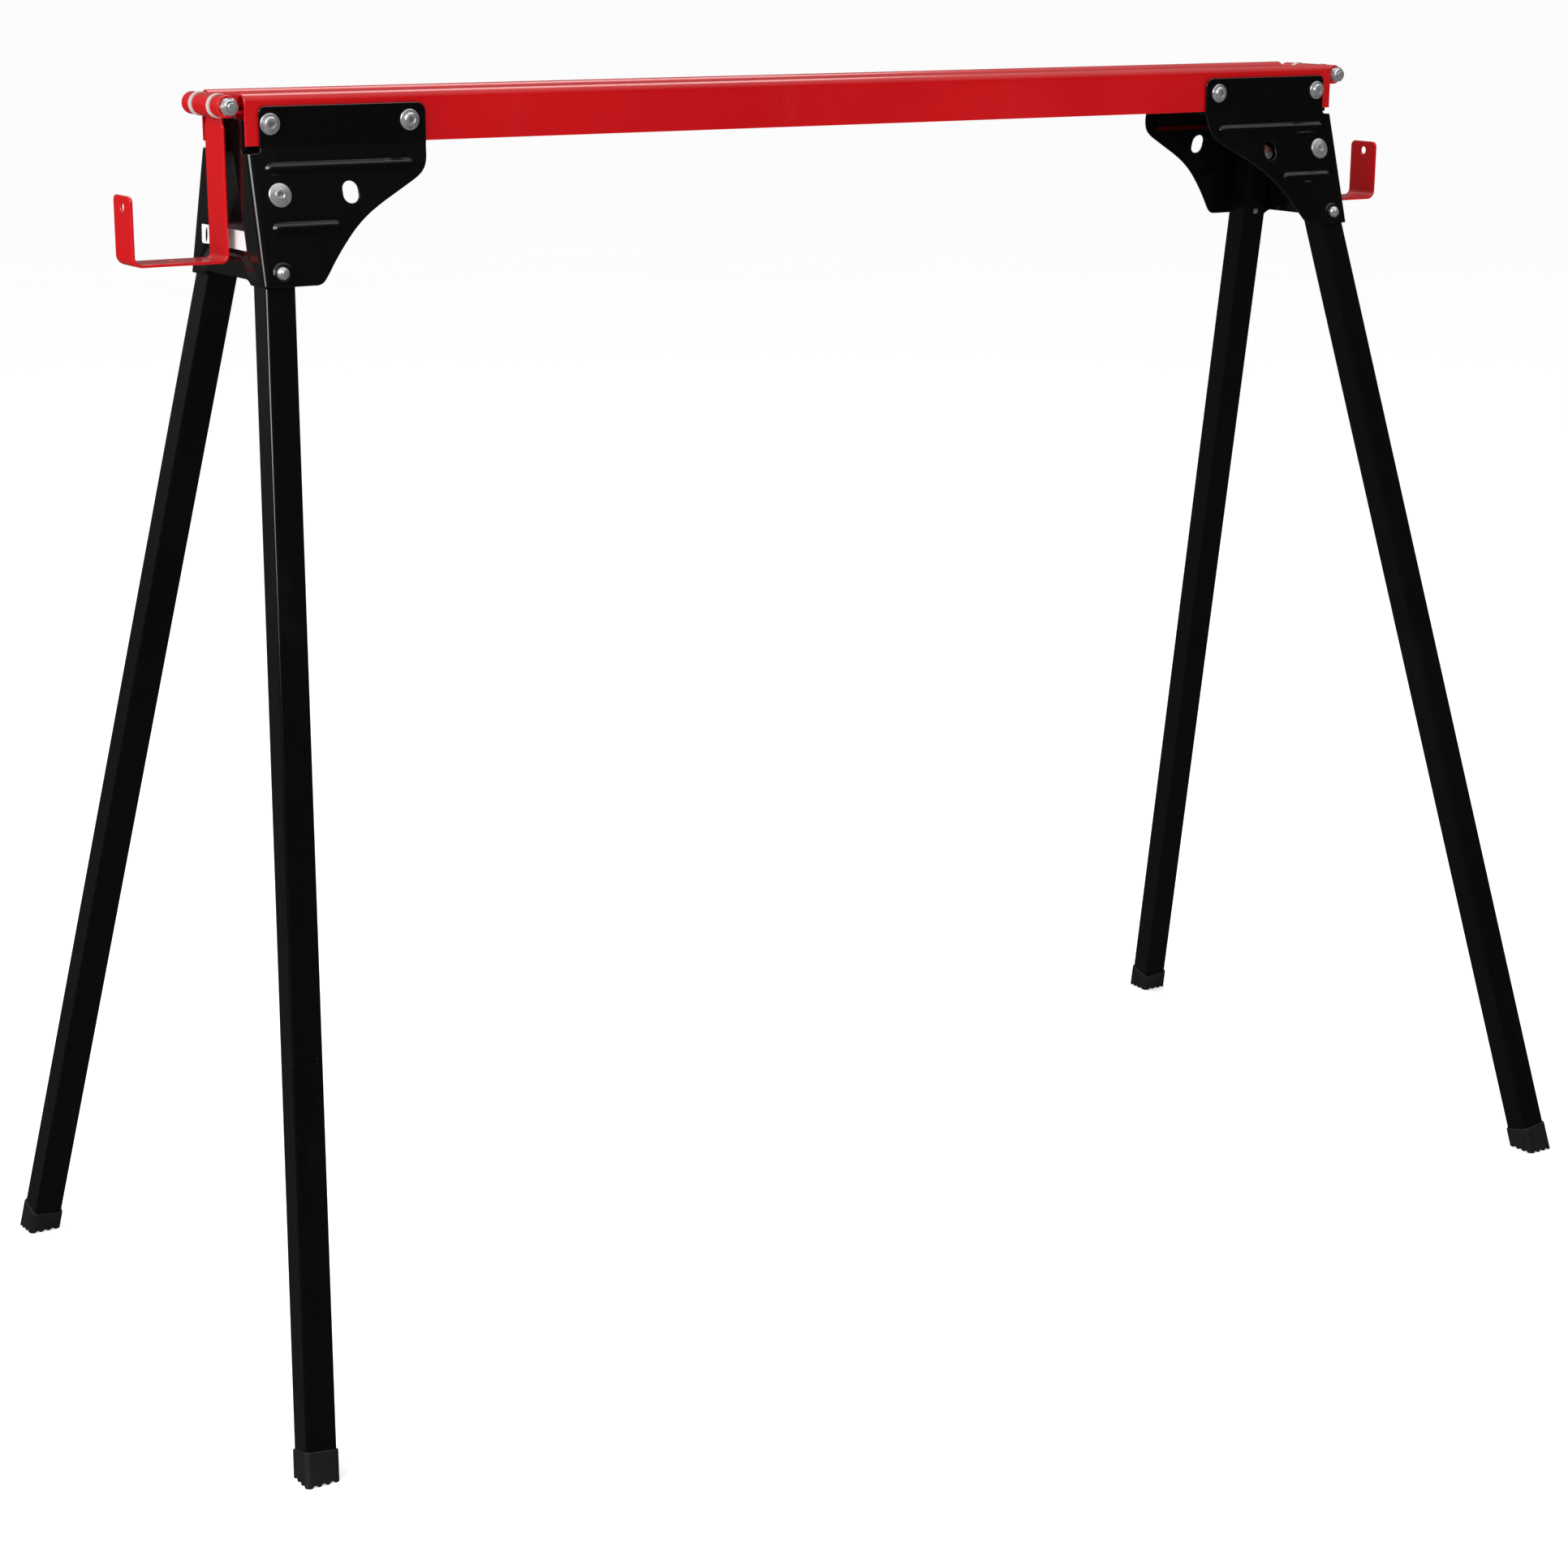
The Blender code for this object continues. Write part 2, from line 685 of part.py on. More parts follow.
def build_tube(name):
    body = prism(name, square(TUBE, TUBE_R), LEG_TOP, LEG_END)
    hollow = prism("hollow", square(TUBE - 2 * TUBE_T, TUBE_R - TUBE_T), LEG_TOP - 5, LEG_END + 5)
    tools = [
        hollow,
        cylinder(HOLE_R, -TUBE - 2, 2, through(0), 16),
        cylinder(BUTTON_R + 0.3, -4, 2, through(BUTTON_Q), 20),
        cylinder(2.4, -TUBE - 2, -TUBE + 4, through(BUTTON_Q), 16),
    ]
    return cut(body, *tools)


def build_cap(name, place):
    """A square cap with a collar, cut level with the floor and grooved underneath."""
    back = place.inverted()
    body = prism(name, square(CAP, 3.4, 4), CAP_TOP, CAP_TOP + 40)
    bm = bmesh.new()
    bm.from_mesh(body)
    whole = [*bm.verts, *bm.edges, *bm.faces]
    down = back.to_3x3() @ Vector((0, 0, -1))
    level = back @ Vector((0, 0, 0))
    cutting = bmesh.ops.bisect_plane(bm, geom=whole, plane_co=level, plane_no=down, clear_outer=True)
    rim = [g for g in cutting["geom_cut"] if isinstance(g, bmesh.types.BMEdge)]
    bmesh.ops.edgeloop_fill(bm, edges=rim)
    bmesh.ops.recalc_face_normals(bm, faces=bm.faces)
    bm.to_mesh(body)
    bm.free()
    pocket = prism("pocket", square(TUBE + 2 * CAP_GAP, TUBE_R + CAP_GAP), CAP_TOP - 5, LEG_END + 0.3)
    reach = (place.translation.z) / -place.col[2].z
    foot = place @ Vector((0, -TUBE / 2, reach))
    tools = [pocket]
    for offset in TREAD:
        groove = frame_of((foot.x, foot.y + offset, -0.7), (0, 1, 0), (0, 0, 1), (1, 0, 0))
        tools.append(cylinder(2.0, -30, 30, back @ groove, 12))
    return cut(body, *tools)


def build_button(name):
    profile = [
        (0, -2.8), (5.4, -2.8), (5.4, -1.6), (BUTTON_R, -1.6), (BUTTON_R, 4.8), (3.5, 6.0), (2.5, 6.8),
        (1.2, BUTTON_OUT), (1.0, BUTTON_OUT + 0.5), (0, BUTTON_OUT + 0.5),
    ]
    return lathe(name, profile, through(0), 16)


def build_spring(name):
    """A V-shaped leaf: one end behind the button, the other on the far wall with a nub through its hole."""
    path = Path([
        (-5.0, -3.3), (5.5, -3.3), (9.0, -3.9), (46.0, -8.2), (48.2, -9.2), (48.9, -10.8), (48.0, -12.3),
        (46.0, -13.0), (10.0, -17.7), (7.0, -18.2), (-5.0, -18.2),
    ])

    def surface(u, v):
        p, n = path.at(u)
        return Vector((v, p.y, p.x)), Vector((0, n.y, n.x))

    total = path.lengths[-1]
    outline = [(0, -4), (total, -4), (total, 4), (0, 4)]
    leaf = sheet(name, surface, outline, [], path.creases(-5, 5), 0.5)
    nub = cylinder(2.0, -TUBE - 0.7, -18.2, through(0), 12)
    return combined(leaf, nub, "UNION")


def build_legs():
    for side, row in ((-1, "front"), (1, "rear")):
        for end, where in ((-1, "left"), (1, "right")):
            label = f"{row}_{where}"
            place = leg_frame(end, side)
            pivot = bpy.data.objects.new("pivot_" + label, None)
            pivot.matrix_world = Matrix.Translation(place.translation * (MM - 1)) @ place
            bpy.context.scene.collection.objects.link(pivot)
            bpy.context.view_layer.update()
            hang(add_object("leg_" + label, build_tube("leg"), "black_paint"), pivot)
            hang(add_object("foot_cap_" + label, build_cap("cap", place), "cap_rubber"), pivot)
            hang(add_object("snap_button_" + label, build_button("button"), "zinc"), pivot, (0, 0, BUTTON_Q))
            spring = add_object("button_spring_" + label, build_spring("spring"), "spring_steel")
            hang(spring, pivot, (0, 0, BUTTON_Q))
            # The pivot bolt, the washer between plate and tube and the nut behind it stay with the bracket.
            head = [(7.5, SEAT), (7.5, 0.9), (6.6, 1.6), (3.2, 2.4), (0, 2.4)]
            plate_face = LEG_GAP + PLATE_T
            across = place @ through(0, plate_face)
            bolt("pivot_bolt_" + label, head, -plate_face - TUBE - 8.0, 2.4, 1.8, across)
            low, high = -plate_face + SEAT, -PLATE_T - SEAT
            washer = flat("washer", circle(0, 0, 8.0, 20), circle(0, 0, 3.2, 16), low, high)
            add_object("pivot_washer_" + label, washer, "nylon", across)
            nut("pivot_nut_" + label, -plate_face - TUBE - 6.3, -plate_face - TUBE - 0.3, across)


# ---- side hooks ----


def build_hook(end, where):
    """A strap rolled into the middle knuckle, with a foot and an upturned tip. Made for the left end."""
    lean = math.acos((STRAP_JOG_R + HINGE[0] - STRAP_O) / (KNUCKLE_R + STRAP_JOG_R))
    turn = math.degrees(lean)
    drop = -(KNUCKLE_R + STRAP_JOG_R) * math.sin(lean)
    strap = STRAP_O - HINGE[0]
    foot = HINGE[1] - FOOT_Z
    tip = TIP_O - HINGE[0]
    points = [
        *arc(0, 0, KNUCKLE_R, -80, 180 + turn, 20),
        *arc(strap - STRAP_JOG_R, drop, STRAP_JOG_R, turn, 0, 3)[1:],
        *arc(strap + FOOT_BEND_R, foot + FOOT_BEND_R, FOOT_BEND_R, 180, 270, 5),
        *arc(tip - TIP_BEND_R, foot + TIP_BEND_R, TIP_BEND_R, 270, 360, 6),
        (tip, HINGE[1] - TIP_Z),
    ]
    path = Path(points)

    def surface(u, v):
        p, n = path.at(u)
        return Vector((-p.x, v, p.y)), Vector((-n.x, 0, n.y))

    total = path.lengths[-1]
    shoulder = path.lengths[23] + (drop - (HINGE[1] - SHOULDER_Z))
    right = [
        (0, KNUCKLE_Y), (shoulder - 2.5, KNUCKLE_Y), (shoulder - 0.6, KNUCKLE_Y + 0.6),
        (shoulder + 0.6, STRAP_Y - 0.6), (shoulder + 2.5, STRAP_Y),
        *arc(total - TIP_CORNER, STRAP_Y - TIP_CORNER, TIP_CORNER, 90, 0, 4),
    ]
    outline = right + [(u, -v) for u, v in reversed(right)]
    foot_at = path.lengths[28] + (FOOT_HOLE[0] - HINGE[0]) - points[28][0]
    holes = [circle(foot_at, 0, FOOT_HOLE[1], 16), circle(total - TIP_HOLE[0], 0, TIP_HOLE[1], 16)]
    mesh = sheet("side_hook_" + where, surface, outline, holes, path.creases(-20, 20), STRAP_T)
    return add_object("side_hook_" + where, mirror(mesh, end), "red_paint", hinge_place(end))


def build_leaf(end, where):
    """The plate under the valley floor with its two outer knuckles. Made for the left end."""
    level = HINGE[1] - LEAF_Z
    lean = math.acos((LEAF_JOG_R - level) / (KNUCKLE_R + LEAF_JOG_R))
    turn = math.degrees(lean)
    inner = -(KNUCKLE_R + LEAF_JOG_R) * math.sin(lean)
    points = [
        (LEAF_END - HINGE[0], level),
        *arc(inner, level - LEAF_JOG_R, LEAF_JOG_R, 90, 90 - turn, 3),
        *arc(0, 0, KNUCKLE_R, -90 - turn, 165, 20)[1:],
    ]
    path = Path(points)

    def surface(u, v):
        p, n = path.at(u)
        return Vector((-p.x, v, p.y)), Vector((-n.x, 0, n.y))

    total = path.lengths[-1]
    notch = path.lengths[1] + (-HINGE[0] - 1.5 - inner)
    outline = [
        (0, -LEAF_Y + 4), (4, -LEAF_Y), (total, -LEAF_Y), (total, -LEAF_GAP_Y), (notch + 1.5, -LEAF_GAP_Y),
        (notch, -LEAF_GAP_Y + 1.5), (notch, LEAF_GAP_Y - 1.5), (notch + 1.5, LEAF_GAP_Y), (total, LEAF_GAP_Y),
        (total, LEAF_Y), (4, LEAF_Y), (0, LEAF_Y - 4),
    ]
    mesh = sheet("hinge_leaf_" + where, surface, outline, [], path.creases(-30, 30), STRAP_T)
    return add_object("hinge_leaf_" + where, mirror(mesh, end), "red_paint", hinge_place(end))


def hinge_place(end):
    return Matrix.Translation((end * (BEAM_HALF + HINGE[0]), 0, HEIGHT - HINGE[1]))


def build_hinge_pins(end, where):
    """The bolt, its lock nut on the front side and a bushing in each gap between the knuckles."""
    place = hinge_place(end) @ frame_of((0, 0, 0), (1, 0, 0), (0, 0, 1), (0, -1, 0))
    nut_low, head = LEAF_Y + SEAT, -LEAF_Y - SEAT
    shank = lathe("hook_bolt", [
        (0, head - 4.0), (4.2, head - 4.0), (4.9, head - 3.4), (4.9, head), (BOLT_R, head),
        (BOLT_R, nut_low + 6.2), (BOLT_R - 0.5, nut_low + 6.9), (0, nut_low + 6.9),
    ])
    add_object("hook_bolt_" + where, shank, "zinc", place)
    nut("hook_nut_" + where, nut_low, nut_low + 6.0, place)
    for side, row in ((-1, "front"), (1, "rear")):
        low, high = KNUCKLE_Y + SIDE_GAP, LEAF_GAP_Y - SIDE_GAP
        near, far = low - SLEEVE_L, high + SLEEVE_L
        profile = [
            (SLEEVE_BORE, near), (SLEEVE_R, near), (SLEEVE_R, low), (FLANGE_R, low), (FLANGE_R, high),
            (SLEEVE_R, high), (SLEEVE_R, far), (SLEEVE_BORE, far),
        ]
        turned = place @ Matrix.Rotation(0 if side < 0 else math.pi, 4, "X")
        bush = lathe("hook_bushing", profile, None, 20, True)
        add_object(f"hook_bushing_{where}_{row}", bush, "nylon", turned)


def main():
    clear_scene()
    build_beam()
    for end, where in ((-1, "left"), (1, "right")):
        build_bracket(end)
        build_leaf(end, where)
        build_hook(end, where)
        build_hinge_pins(end, where)
    build_beam_bolts()
    build_legs()


main()
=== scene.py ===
"""Folding sawhorse: finished pieces of a ridged sheet-steel beam on four folding legs, with two side hooks.

Metres, +Z up, floor at z = 0. The beam lies along X and the front faces -Y. Lengths in the shape code are in
millimetres, and each finished mesh is scaled to metres in place.
"""

import math

import bmesh
import bpy
import numpy as np
from mathutils import Matrix, Vector
from mathutils.geometry import delaunay_2d_cdt


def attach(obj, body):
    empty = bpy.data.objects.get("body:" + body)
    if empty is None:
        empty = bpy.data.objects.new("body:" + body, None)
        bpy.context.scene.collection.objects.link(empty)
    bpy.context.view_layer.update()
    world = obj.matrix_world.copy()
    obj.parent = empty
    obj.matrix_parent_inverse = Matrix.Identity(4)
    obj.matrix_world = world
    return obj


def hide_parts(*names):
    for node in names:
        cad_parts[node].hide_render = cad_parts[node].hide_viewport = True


bl_info = {
    "name": "Folding Sawhorse",
    "version": (1, 0, 0),
    "blender": (4, 5, 0),
    "location": "3D View > Sidebar > Sawhorse",
    "description": "Builds the finished pieces of a folding steel sawhorse and its studio stage",
    "category": "Object",
}

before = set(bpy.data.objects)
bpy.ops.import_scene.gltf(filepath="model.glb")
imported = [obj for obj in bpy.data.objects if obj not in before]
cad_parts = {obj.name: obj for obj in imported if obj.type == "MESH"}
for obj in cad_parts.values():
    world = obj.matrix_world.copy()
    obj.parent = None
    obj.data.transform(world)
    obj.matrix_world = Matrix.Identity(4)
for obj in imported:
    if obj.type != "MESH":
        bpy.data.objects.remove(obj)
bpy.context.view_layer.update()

MM = 0.001
ENDS = ((-1, "left"), (1, "right"))
ROWS = ((-1, "front"), (1, "rear"))

# Beam, in millimetres
HEIGHT = 810.0
BEAM_HALF = 437.5
BEAM_W = 32.6
BEAM_H = 31.4
BEAM_T = 1.6
RIDGE_R = 6.3
VALLEY = 8.2
VALLEY_R = 1.9

# Brackets: s runs down a plate from its bend, x inwards from the beam's end
PLATE_T = 1.6
PLATE_GAP = 0.2
BEND_Z = 32.3
SPLAY = math.radians(15.23)
BEND_R = 4.0
FLANGE_X = (8.4, 121.0)
FLANGE_TOP = 24.6
PLATE_BOTTOM = 85.3
NOTCH_S = 3.2
FOLD_R = 3.2
WALL_X = 0.6
WALL_LEAN = 1.6 / 85.0
WALL_PARAM = 30.0
WALL_TOP = 15.5
WALL_TOP_Y = 28.5
RETURN_DEPTH = 2.5
WALL_ARCH = ((-36.0, 114.6), (-32.5, 112.4), (-29.5, 111.5))
PANEL = ((-14.0, 35.5, 4), (14.0, 35.5, 4), (33.0, 99.5, 7), (-33.0, 99.5, 7))
BEADS = ((10.0, 110.5, 13.2, 3.9), (9.3, 55.0, 49.8, 3.9))
RING_R = 7.1
RING_H = 0.8

# Fasteners
BOLT_R = 3.0
HOLE_R = 3.25
BEAM_BOLTS = (15.3, 109.6)
BEAM_BOLT_Z = 18.2
NUT_AF = 10.0
SEAT = 0.15

# Legs
PIVOT = (16.9, 29.4)
LEG_SPLAY = math.radians(6.76)
LEG_GAP = 1.5
TUBE = 20.0
FILL_SHARE = 0.05  # of the key light
TREAD_TURN = 3.1  # degrees from one groove to the next
TREAD_SHIFT = 0.013  # mm from one groove to the next
TUBE_T = 1.4
TUBE_R = 2.2
LEG_TOP = -10.0
LEG_END = 769.0
BUTTON_Q = 47.9
BUTTON_R = 4.0
SLOT = (64.6, 29.1, 5.3, 14.0)
CAP_TOP = 760.8
CAP = 22.4
CAP_GAP = 0.15

# Side hooks: o runs outwards from the beam's end
HINGE = (8.7, 7.7)
STRAP_T = 2.0
KNUCKLE_R = 5.9
STRAP_O = 5.75
STRAP_Y = 13.5
KNUCKLE_Y = 11.3
SHOULDER_Z = 19.0
FOOT_Z = 102.0
TIP_O = 67.3
TIP_Z = 60.0
LEAF_Y = 27.2
LEAF_GAP_Y = 15.7
LEAF_Z = 11.0
LEAF_END = -38.0
STRAP_JOG_R = 7.0
LEAF_JOG_R = 6.0
SLEEVE_R = 4.65


# ---- settings a user may change ----


class SawhorseSizes(bpy.types.PropertyGroup):
    rim: bpy.props.FloatProperty(
        name="Edge rounding", description="Radius on the cut edges of the brackets and the beam",
        default=0.00055,
        min=0.0002, max=0.0007, precision=5, unit="LENGTH",
    )
    bead_height: bpy.props.FloatProperty(
        name="Bead height", description="How far the two stiffening beads stand out of a plate",
        default=0.0023,
        min=0.0, max=0.003, precision=5, unit="LENGTH",
    )
    panel_depth: bpy.props.FloatProperty(
        name="Panel depth", description="How far the panel is pressed into an end wall", default=0.0014,
        min=0.0, max=0.003, precision=5, unit="LENGTH",
    )
    thread_pitch: bpy.props.FloatProperty(
        name="Thread pitch", description="Distance between two crests of a bolt's thread", default=0.001,
        min=0.0007, max=0.002, precision=5, unit="LENGTH",
    )
    tread_pitch: bpy.props.FloatProperty(
        name="Tread pitch", description="Distance between two grooves under a foot", default=0.0056,
        min=0.003, max=0.01, precision=5, unit="LENGTH",
    )
    tread_radius: bpy.props.FloatProperty(
        name="Tread radius", description="Radius of each groove under a foot", default=0.002,
        min=0.0005, max=0.003, precision=5, unit="LENGTH",
    )
    label: bpy.props.FloatVectorProperty(
        name="Label", description="Width and height of the blank label", default=(0.065, 0.0118), size=2,
        min=0.005, max=0.075, precision=4, unit="LENGTH",
    )


class SawhorseFinishes(bpy.types.PropertyGroup):
    beam_paint: bpy.props.FloatVectorProperty(
        name="Beam paint", description="Powder coat of the beam and the hooks", default=(
            0.52, 0.0009, 0.0032
        ), size=3,
        min=0.0, max=1.0, subtype="COLOR",
    )
    frame_paint: bpy.props.FloatVectorProperty(
        name="Frame paint", description="Powder coat of the brackets and the legs", default=(
            0.0022, 0.0022, 0.0026
        ),
        size=3, min=0.0, max=1.0, subtype="COLOR",
    )
    plating: bpy.props.FloatVectorProperty(
        name="Plating", description="Colour of the zinc-plated fasteners", default=(0.80, 0.80, 0.81), size=3,
        min=0.0, max=1.0, subtype="COLOR",
    )
    rubber: bpy.props.FloatVectorProperty(
        name="Foot caps", description="Colour of the moulded foot caps", default=(
            0.0075, 0.0078, 0.0082
        ), size=3,
        min=0.0, max=1.0, subtype="COLOR",
    )
    nylon: bpy.props.FloatVectorProperty(
        name="Bushings", description="Colour of the nylon bushings and spacers", default=(
            0.50, 0.45, 0.44
        ), size=3,
        min=0.0, max=1.0, subtype="COLOR",
    )
    handling: bpy.props.FloatProperty(
        name="Handling marks", description="How strongly smears and dust show", default=0.5, min=0.0, max=1.0,
        subtype="FACTOR",
    )


class SawhorseStudio(bpy.types.PropertyGroup):
    camera: bpy.props.FloatVectorProperty(
        name="Camera", description="Where the camera stands", default=(-1.2563, -1.8873, 0.9154), size=3,
        subtype="TRANSLATION", unit="LENGTH",
    )
    lens: bpy.props.FloatProperty(
        name="Lens", description="Focal length in millimetres", default=74.63, min=20.0, max=200.0,
    )
    key: bpy.props.FloatProperty(
        name="Key light", description="Power of the large soft light at the upper left",
        default=46.0, min=0.0,
        unit="POWER",
    )
    floor: bpy.props.FloatVectorProperty(
        name="Floor", description="Colour of the plain floor", default=(
            0.93, 0.93, 0.93
        ), size=3, min=0.0, max=1.0,
        subtype="COLOR",
    )


# ---- shader groups ----


def group(name, inputs, outputs):
    """A shader node group with its named sockets, and its input and output nodes."""
    tree = bpy.data.node_groups.new(name, "ShaderNodeTree")
    for label, default in inputs:
        socket = tree.interface.new_socket(label, in_out="INPUT", socket_type="NodeSocketFloat")
        socket.default_value = default
    for label in outputs:
        tree.interface.new_socket(label, in_out="OUTPUT", socket_type="NodeSocketFloat")
    return tree, tree.nodes.new("NodeGroupInput"), tree.nodes.new("NodeGroupOutput")


def node(tree, kind, inputs=(), **settings):
    """Adds a node. inputs maps a socket to a value, or to another node's output socket."""
    made = tree.nodes.new(kind)
    for key, value in settings.items():
        setattr(made, key, value)
    for key, value in dict(inputs).items():
        if isinstance(value, bpy.types.NodeSocket):
            tree.links.new(value, made.inputs[key])
        else:
            made.inputs[key].default_value = value
    return made


def maths(tree, operation, a, b=0.0, c=None, clamp=False):
    inputs = {0: a, 1: b}
    if c is not None:
        inputs[2] = c
    return node(tree, "ShaderNodeMath", inputs, operation=operation, use_clamp=clamp).outputs[0]


def spread(tree, value, low, high, to_low=0.0, to_high=1.0):
    """Maps a range of values onto another, softly and clamped."""
    inputs = {"Value": value, "From Min": low, "From Max": high, "To Min": to_low, "To Max": to_high}
    return node(tree, "ShaderNodeMapRange", inputs, interpolation_type="SMOOTHSTEP").outputs["Result"]


def place_on_piece(tree, stretch=(1, 1, 1), turn=(0, 0, 0), shift=(0, 0, 0)):
    """The piece's own coordinates, stretched and turned."""
    where = node(tree, "ShaderNodeTexCoord")
    inputs = {"Vector": where.outputs["Object"], "Location": shift, "Rotation": turn, "Scale": stretch}
    return node(tree, "ShaderNodeMapping", inputs).outputs["Vector"]


def noise(tree, vector, scale, detail=2.0, roughness=0.5, distortion=0.0):
    inputs = {
        "Vector": vector, "Scale": scale, "Detail": detail, "Roughness": roughness, "Distortion": distortion
    }
    return node(tree, "ShaderNodeTexNoise", inputs).outputs["Fac"]


def make_orange_peel():
    """The slow ripple that powder coat or a plated surface keeps, as a height."""
    tree, given, out = group("Orange Peel", (("Ripple Scale", 650.0), ("Fine Share", 0.25)), ("Height",))
    where = place_on_piece(tree)
    broad = noise(tree, where, given.outputs["Ripple Scale"], 1.5, 0.45)
    fine = noise(tree, where, maths(tree, "MULTIPLY", given.outputs["Ripple Scale"], 3.7), 1.0)
    fine = maths(tree, "MULTIPLY", fine, given.outputs["Fine Share"])
    tree.links.new(maths(tree, "ADD", broad, fine), out.inputs["Height"])
    return tree


def make_handling_marks():
    """Smears and faint cloudy patches left by hands and cloths, as a mask."""
    tree, given, out = group(
        "Handling Marks", (("Patch Scale", 14.0), ("Smear Scale", 60.0), ("Amount", 0.5)), ("Mask",)
    )
    patches = noise(
        tree, place_on_piece(tree, shift=(3.1, 0.4, 1.7)), given.outputs["Patch Scale"], 4.0, 0.6, 0.4
    )
    smears = noise(
        tree, place_on_piece(tree, (1, 0.3, 0.22), (0.3, 0.5, 0.9)), given.outputs["Smear Scale"], 3.0, 0.7
    )
    both = maths(tree, "MULTIPLY", spread(tree, patches, 0.45, 0.72), spread(tree, smears, 0.42, 0.7))
    tree.links.new(maths(tree, "MULTIPLY", both, given.outputs["Amount"], clamp=True), out.inputs["Mask"])
    return tree


def make_hairlines():
    """Sparse fine scratches in two directions, as a mask."""
    tree, given, out = group("Hairlines", (("Line Scale", 40.0), ("Amount", 0.5)), ("Mask",))
    found = None
    for stretch, turn, shift in (
        ((1, 26, 26), (0.2, 0.35, 0.6), (0.2, 0.9, 0.1)), ((22, 22, 1), (0.5, -0.4, 0.1), (1.4, 0.2, 2.3))
    ):
        lines = noise(
            tree, place_on_piece(tree, stretch, turn, shift), given.outputs["Line Scale"], 0.5, 0.3, 0.15
        )
        thin = spread(
            tree, maths(tree, "ABSOLUTE", maths(tree, "SUBTRACT", lines, 0.5)), 0.0, 0.006, 1.0, 0.0
        )
        where = noise(tree, place_on_piece(tree, shift=shift), 23.0, 2.0)
        thin = maths(tree, "MULTIPLY", thin, spread(tree, where, 0.6, 0.7))
        found = thin if found is None else maths(tree, "MAXIMUM", found, thin)
    tree.links.new(maths(tree, "MULTIPLY", found, given.outputs["Amount"], clamp=True), out.inputs["Mask"])
    return tree


def make_edge_wear_and_sheen():
    """Where a finish thins or rubs along an edge, and where an edge takes a painted highlight, from the
    piece's edge attribute, as a mask.
    """
    tree, given, out = group("Edge Wear", (("Break-up Scale", 180.0), ("Amount", 0.5)), ("Mask",))
    # The mask marks convex edges; the colour laid with it is partly wear and partly a painted highlight.
    edge = node(tree, "ShaderNodeAttribute", attribute_name="edge").outputs["Fac"]
    broken = noise(tree, place_on_piece(tree), given.outputs["Break-up Scale"], 3.0, 0.6)
    mask = maths(tree, "MULTIPLY", spread(tree, edge, 0.25, 0.95), spread(tree, broken, 0.3, 0.62, 0.25, 1.0))
    tree.links.new(maths(tree, "MULTIPLY", mask, given.outputs["Amount"], clamp=True), out.inputs["Mask"])
    return tree


def make_dust():
    """Separate small specks of dust, as a mask."""
    tree, given, out = group("Dust", (("Speck Scale", 420.0), ("Amount", 0.5)), ("Mask",))
    where = place_on_piece(tree)
    cells = node(
        tree, "ShaderNodeTexVoronoi",
        {"Vector": where, "Scale": given.outputs["Speck Scale"], "Randomness": 1.0}
    )
    specks = spread(tree, cells.outputs["Distance"], 0.05, 0.12, 1.0, 0.0)
    chosen = node(tree, "ShaderNodeSeparateColor", {"Color": cells.outputs["Color"]}).outputs["Red"]
    few = maths(tree, "MULTIPLY", specks, maths(tree, "GREATER_THAN", chosen, 0.93))
    few = maths(tree, "MULTIPLY", few, spread(tree, noise(tree, where, 9.0, 2.0), 0.5, 0.65))
    tree.links.new(maths(tree, "MULTIPLY", few, given.outputs["Amount"], clamp=True), out.inputs["Mask"])
    return tree


def make_mould_grain():
    """The dull grain of a moulded surface, as a height and a tone."""
    tree, given, out = group(
        "Mould Grain", (("Grain Scale", 2600.0), ("Flow Scale", 90.0)), ("Height", "Tone")
    )
    where = place_on_piece(tree)
    grain = noise(tree, where, given.outputs["Grain Scale"], 3.0, 0.7)
    flow = noise(tree, place_on_piece(tree, (1, 1, 0.35)), given.outputs["Flow Scale"], 3.0, 0.55, 0.8)
    tree.links.new(grain, out.inputs["Height"])
    tree.links.new(spread(tree, flow, 0.3, 0.7), out.inputs["Tone"])
    return tree


GROUPS = {}


def shared(tree, name, **values):
    """Places one shared group in a material with its own values."""
    makers = {
        "Orange Peel": make_orange_peel, "Handling Marks": make_handling_marks, "Hairlines": make_hairlines,
        "Edge Wear": make_edge_wear_and_sheen, "Dust": make_dust, "Mould Grain": make_mould_grain,
    }
    if name not in GROUPS:
        GROUPS[name] = makers[name]()
    made = tree.nodes.new("ShaderNodeGroup")
    made.node_tree = GROUPS[name]
    for key, value in values.items():
        made.inputs[key.replace("_", " ")].default_value = value
    return made


# ---- materials ----


def blank(name, roughness, metallic=0.0, **constants):
    """A material with its Principled shader, whose uniform values stand on its own sockets."""
    mat = bpy.data.materials.new(name)
    mat.use_nodes = True
    shader = mat.node_tree.nodes["Principled BSDF"]
    shader.inputs["Roughness"].default_value = roughness
    shader.inputs["Metallic"].default_value = metallic
    for key, value in constants.items():
        shader.inputs[key.replace("_", " ")].default_value = value
    return mat, mat.node_tree, shader


def tint(tree, below, above, mask):
    """One colour laid over another by a mask. Either may be a socket."""
    inputs = {"Factor": mask}
    mixed = node(tree, "ShaderNodeMix", inputs, data_type="RGBA")
    for socket, value in ((mixed.inputs[6], below), (mixed.inputs[7], above)):
        if isinstance(value, bpy.types.NodeSocket):
            tree.links.new(value, socket)
        else:
            socket.default_value = (*value[:3], 1.0)
    return mixed.outputs[2]


def ripple(tree, shader, height, distance, strength=1.0):
    bump = node(tree, "ShaderNodeBump", {"Height": height, "Distance": distance, "Strength": strength})
    tree.links.new(bump.outputs["Normal"], shader.inputs["Normal"])


def shaded(colour, factor):
    return tuple(min(1.0, c * factor) for c in colour[:3])


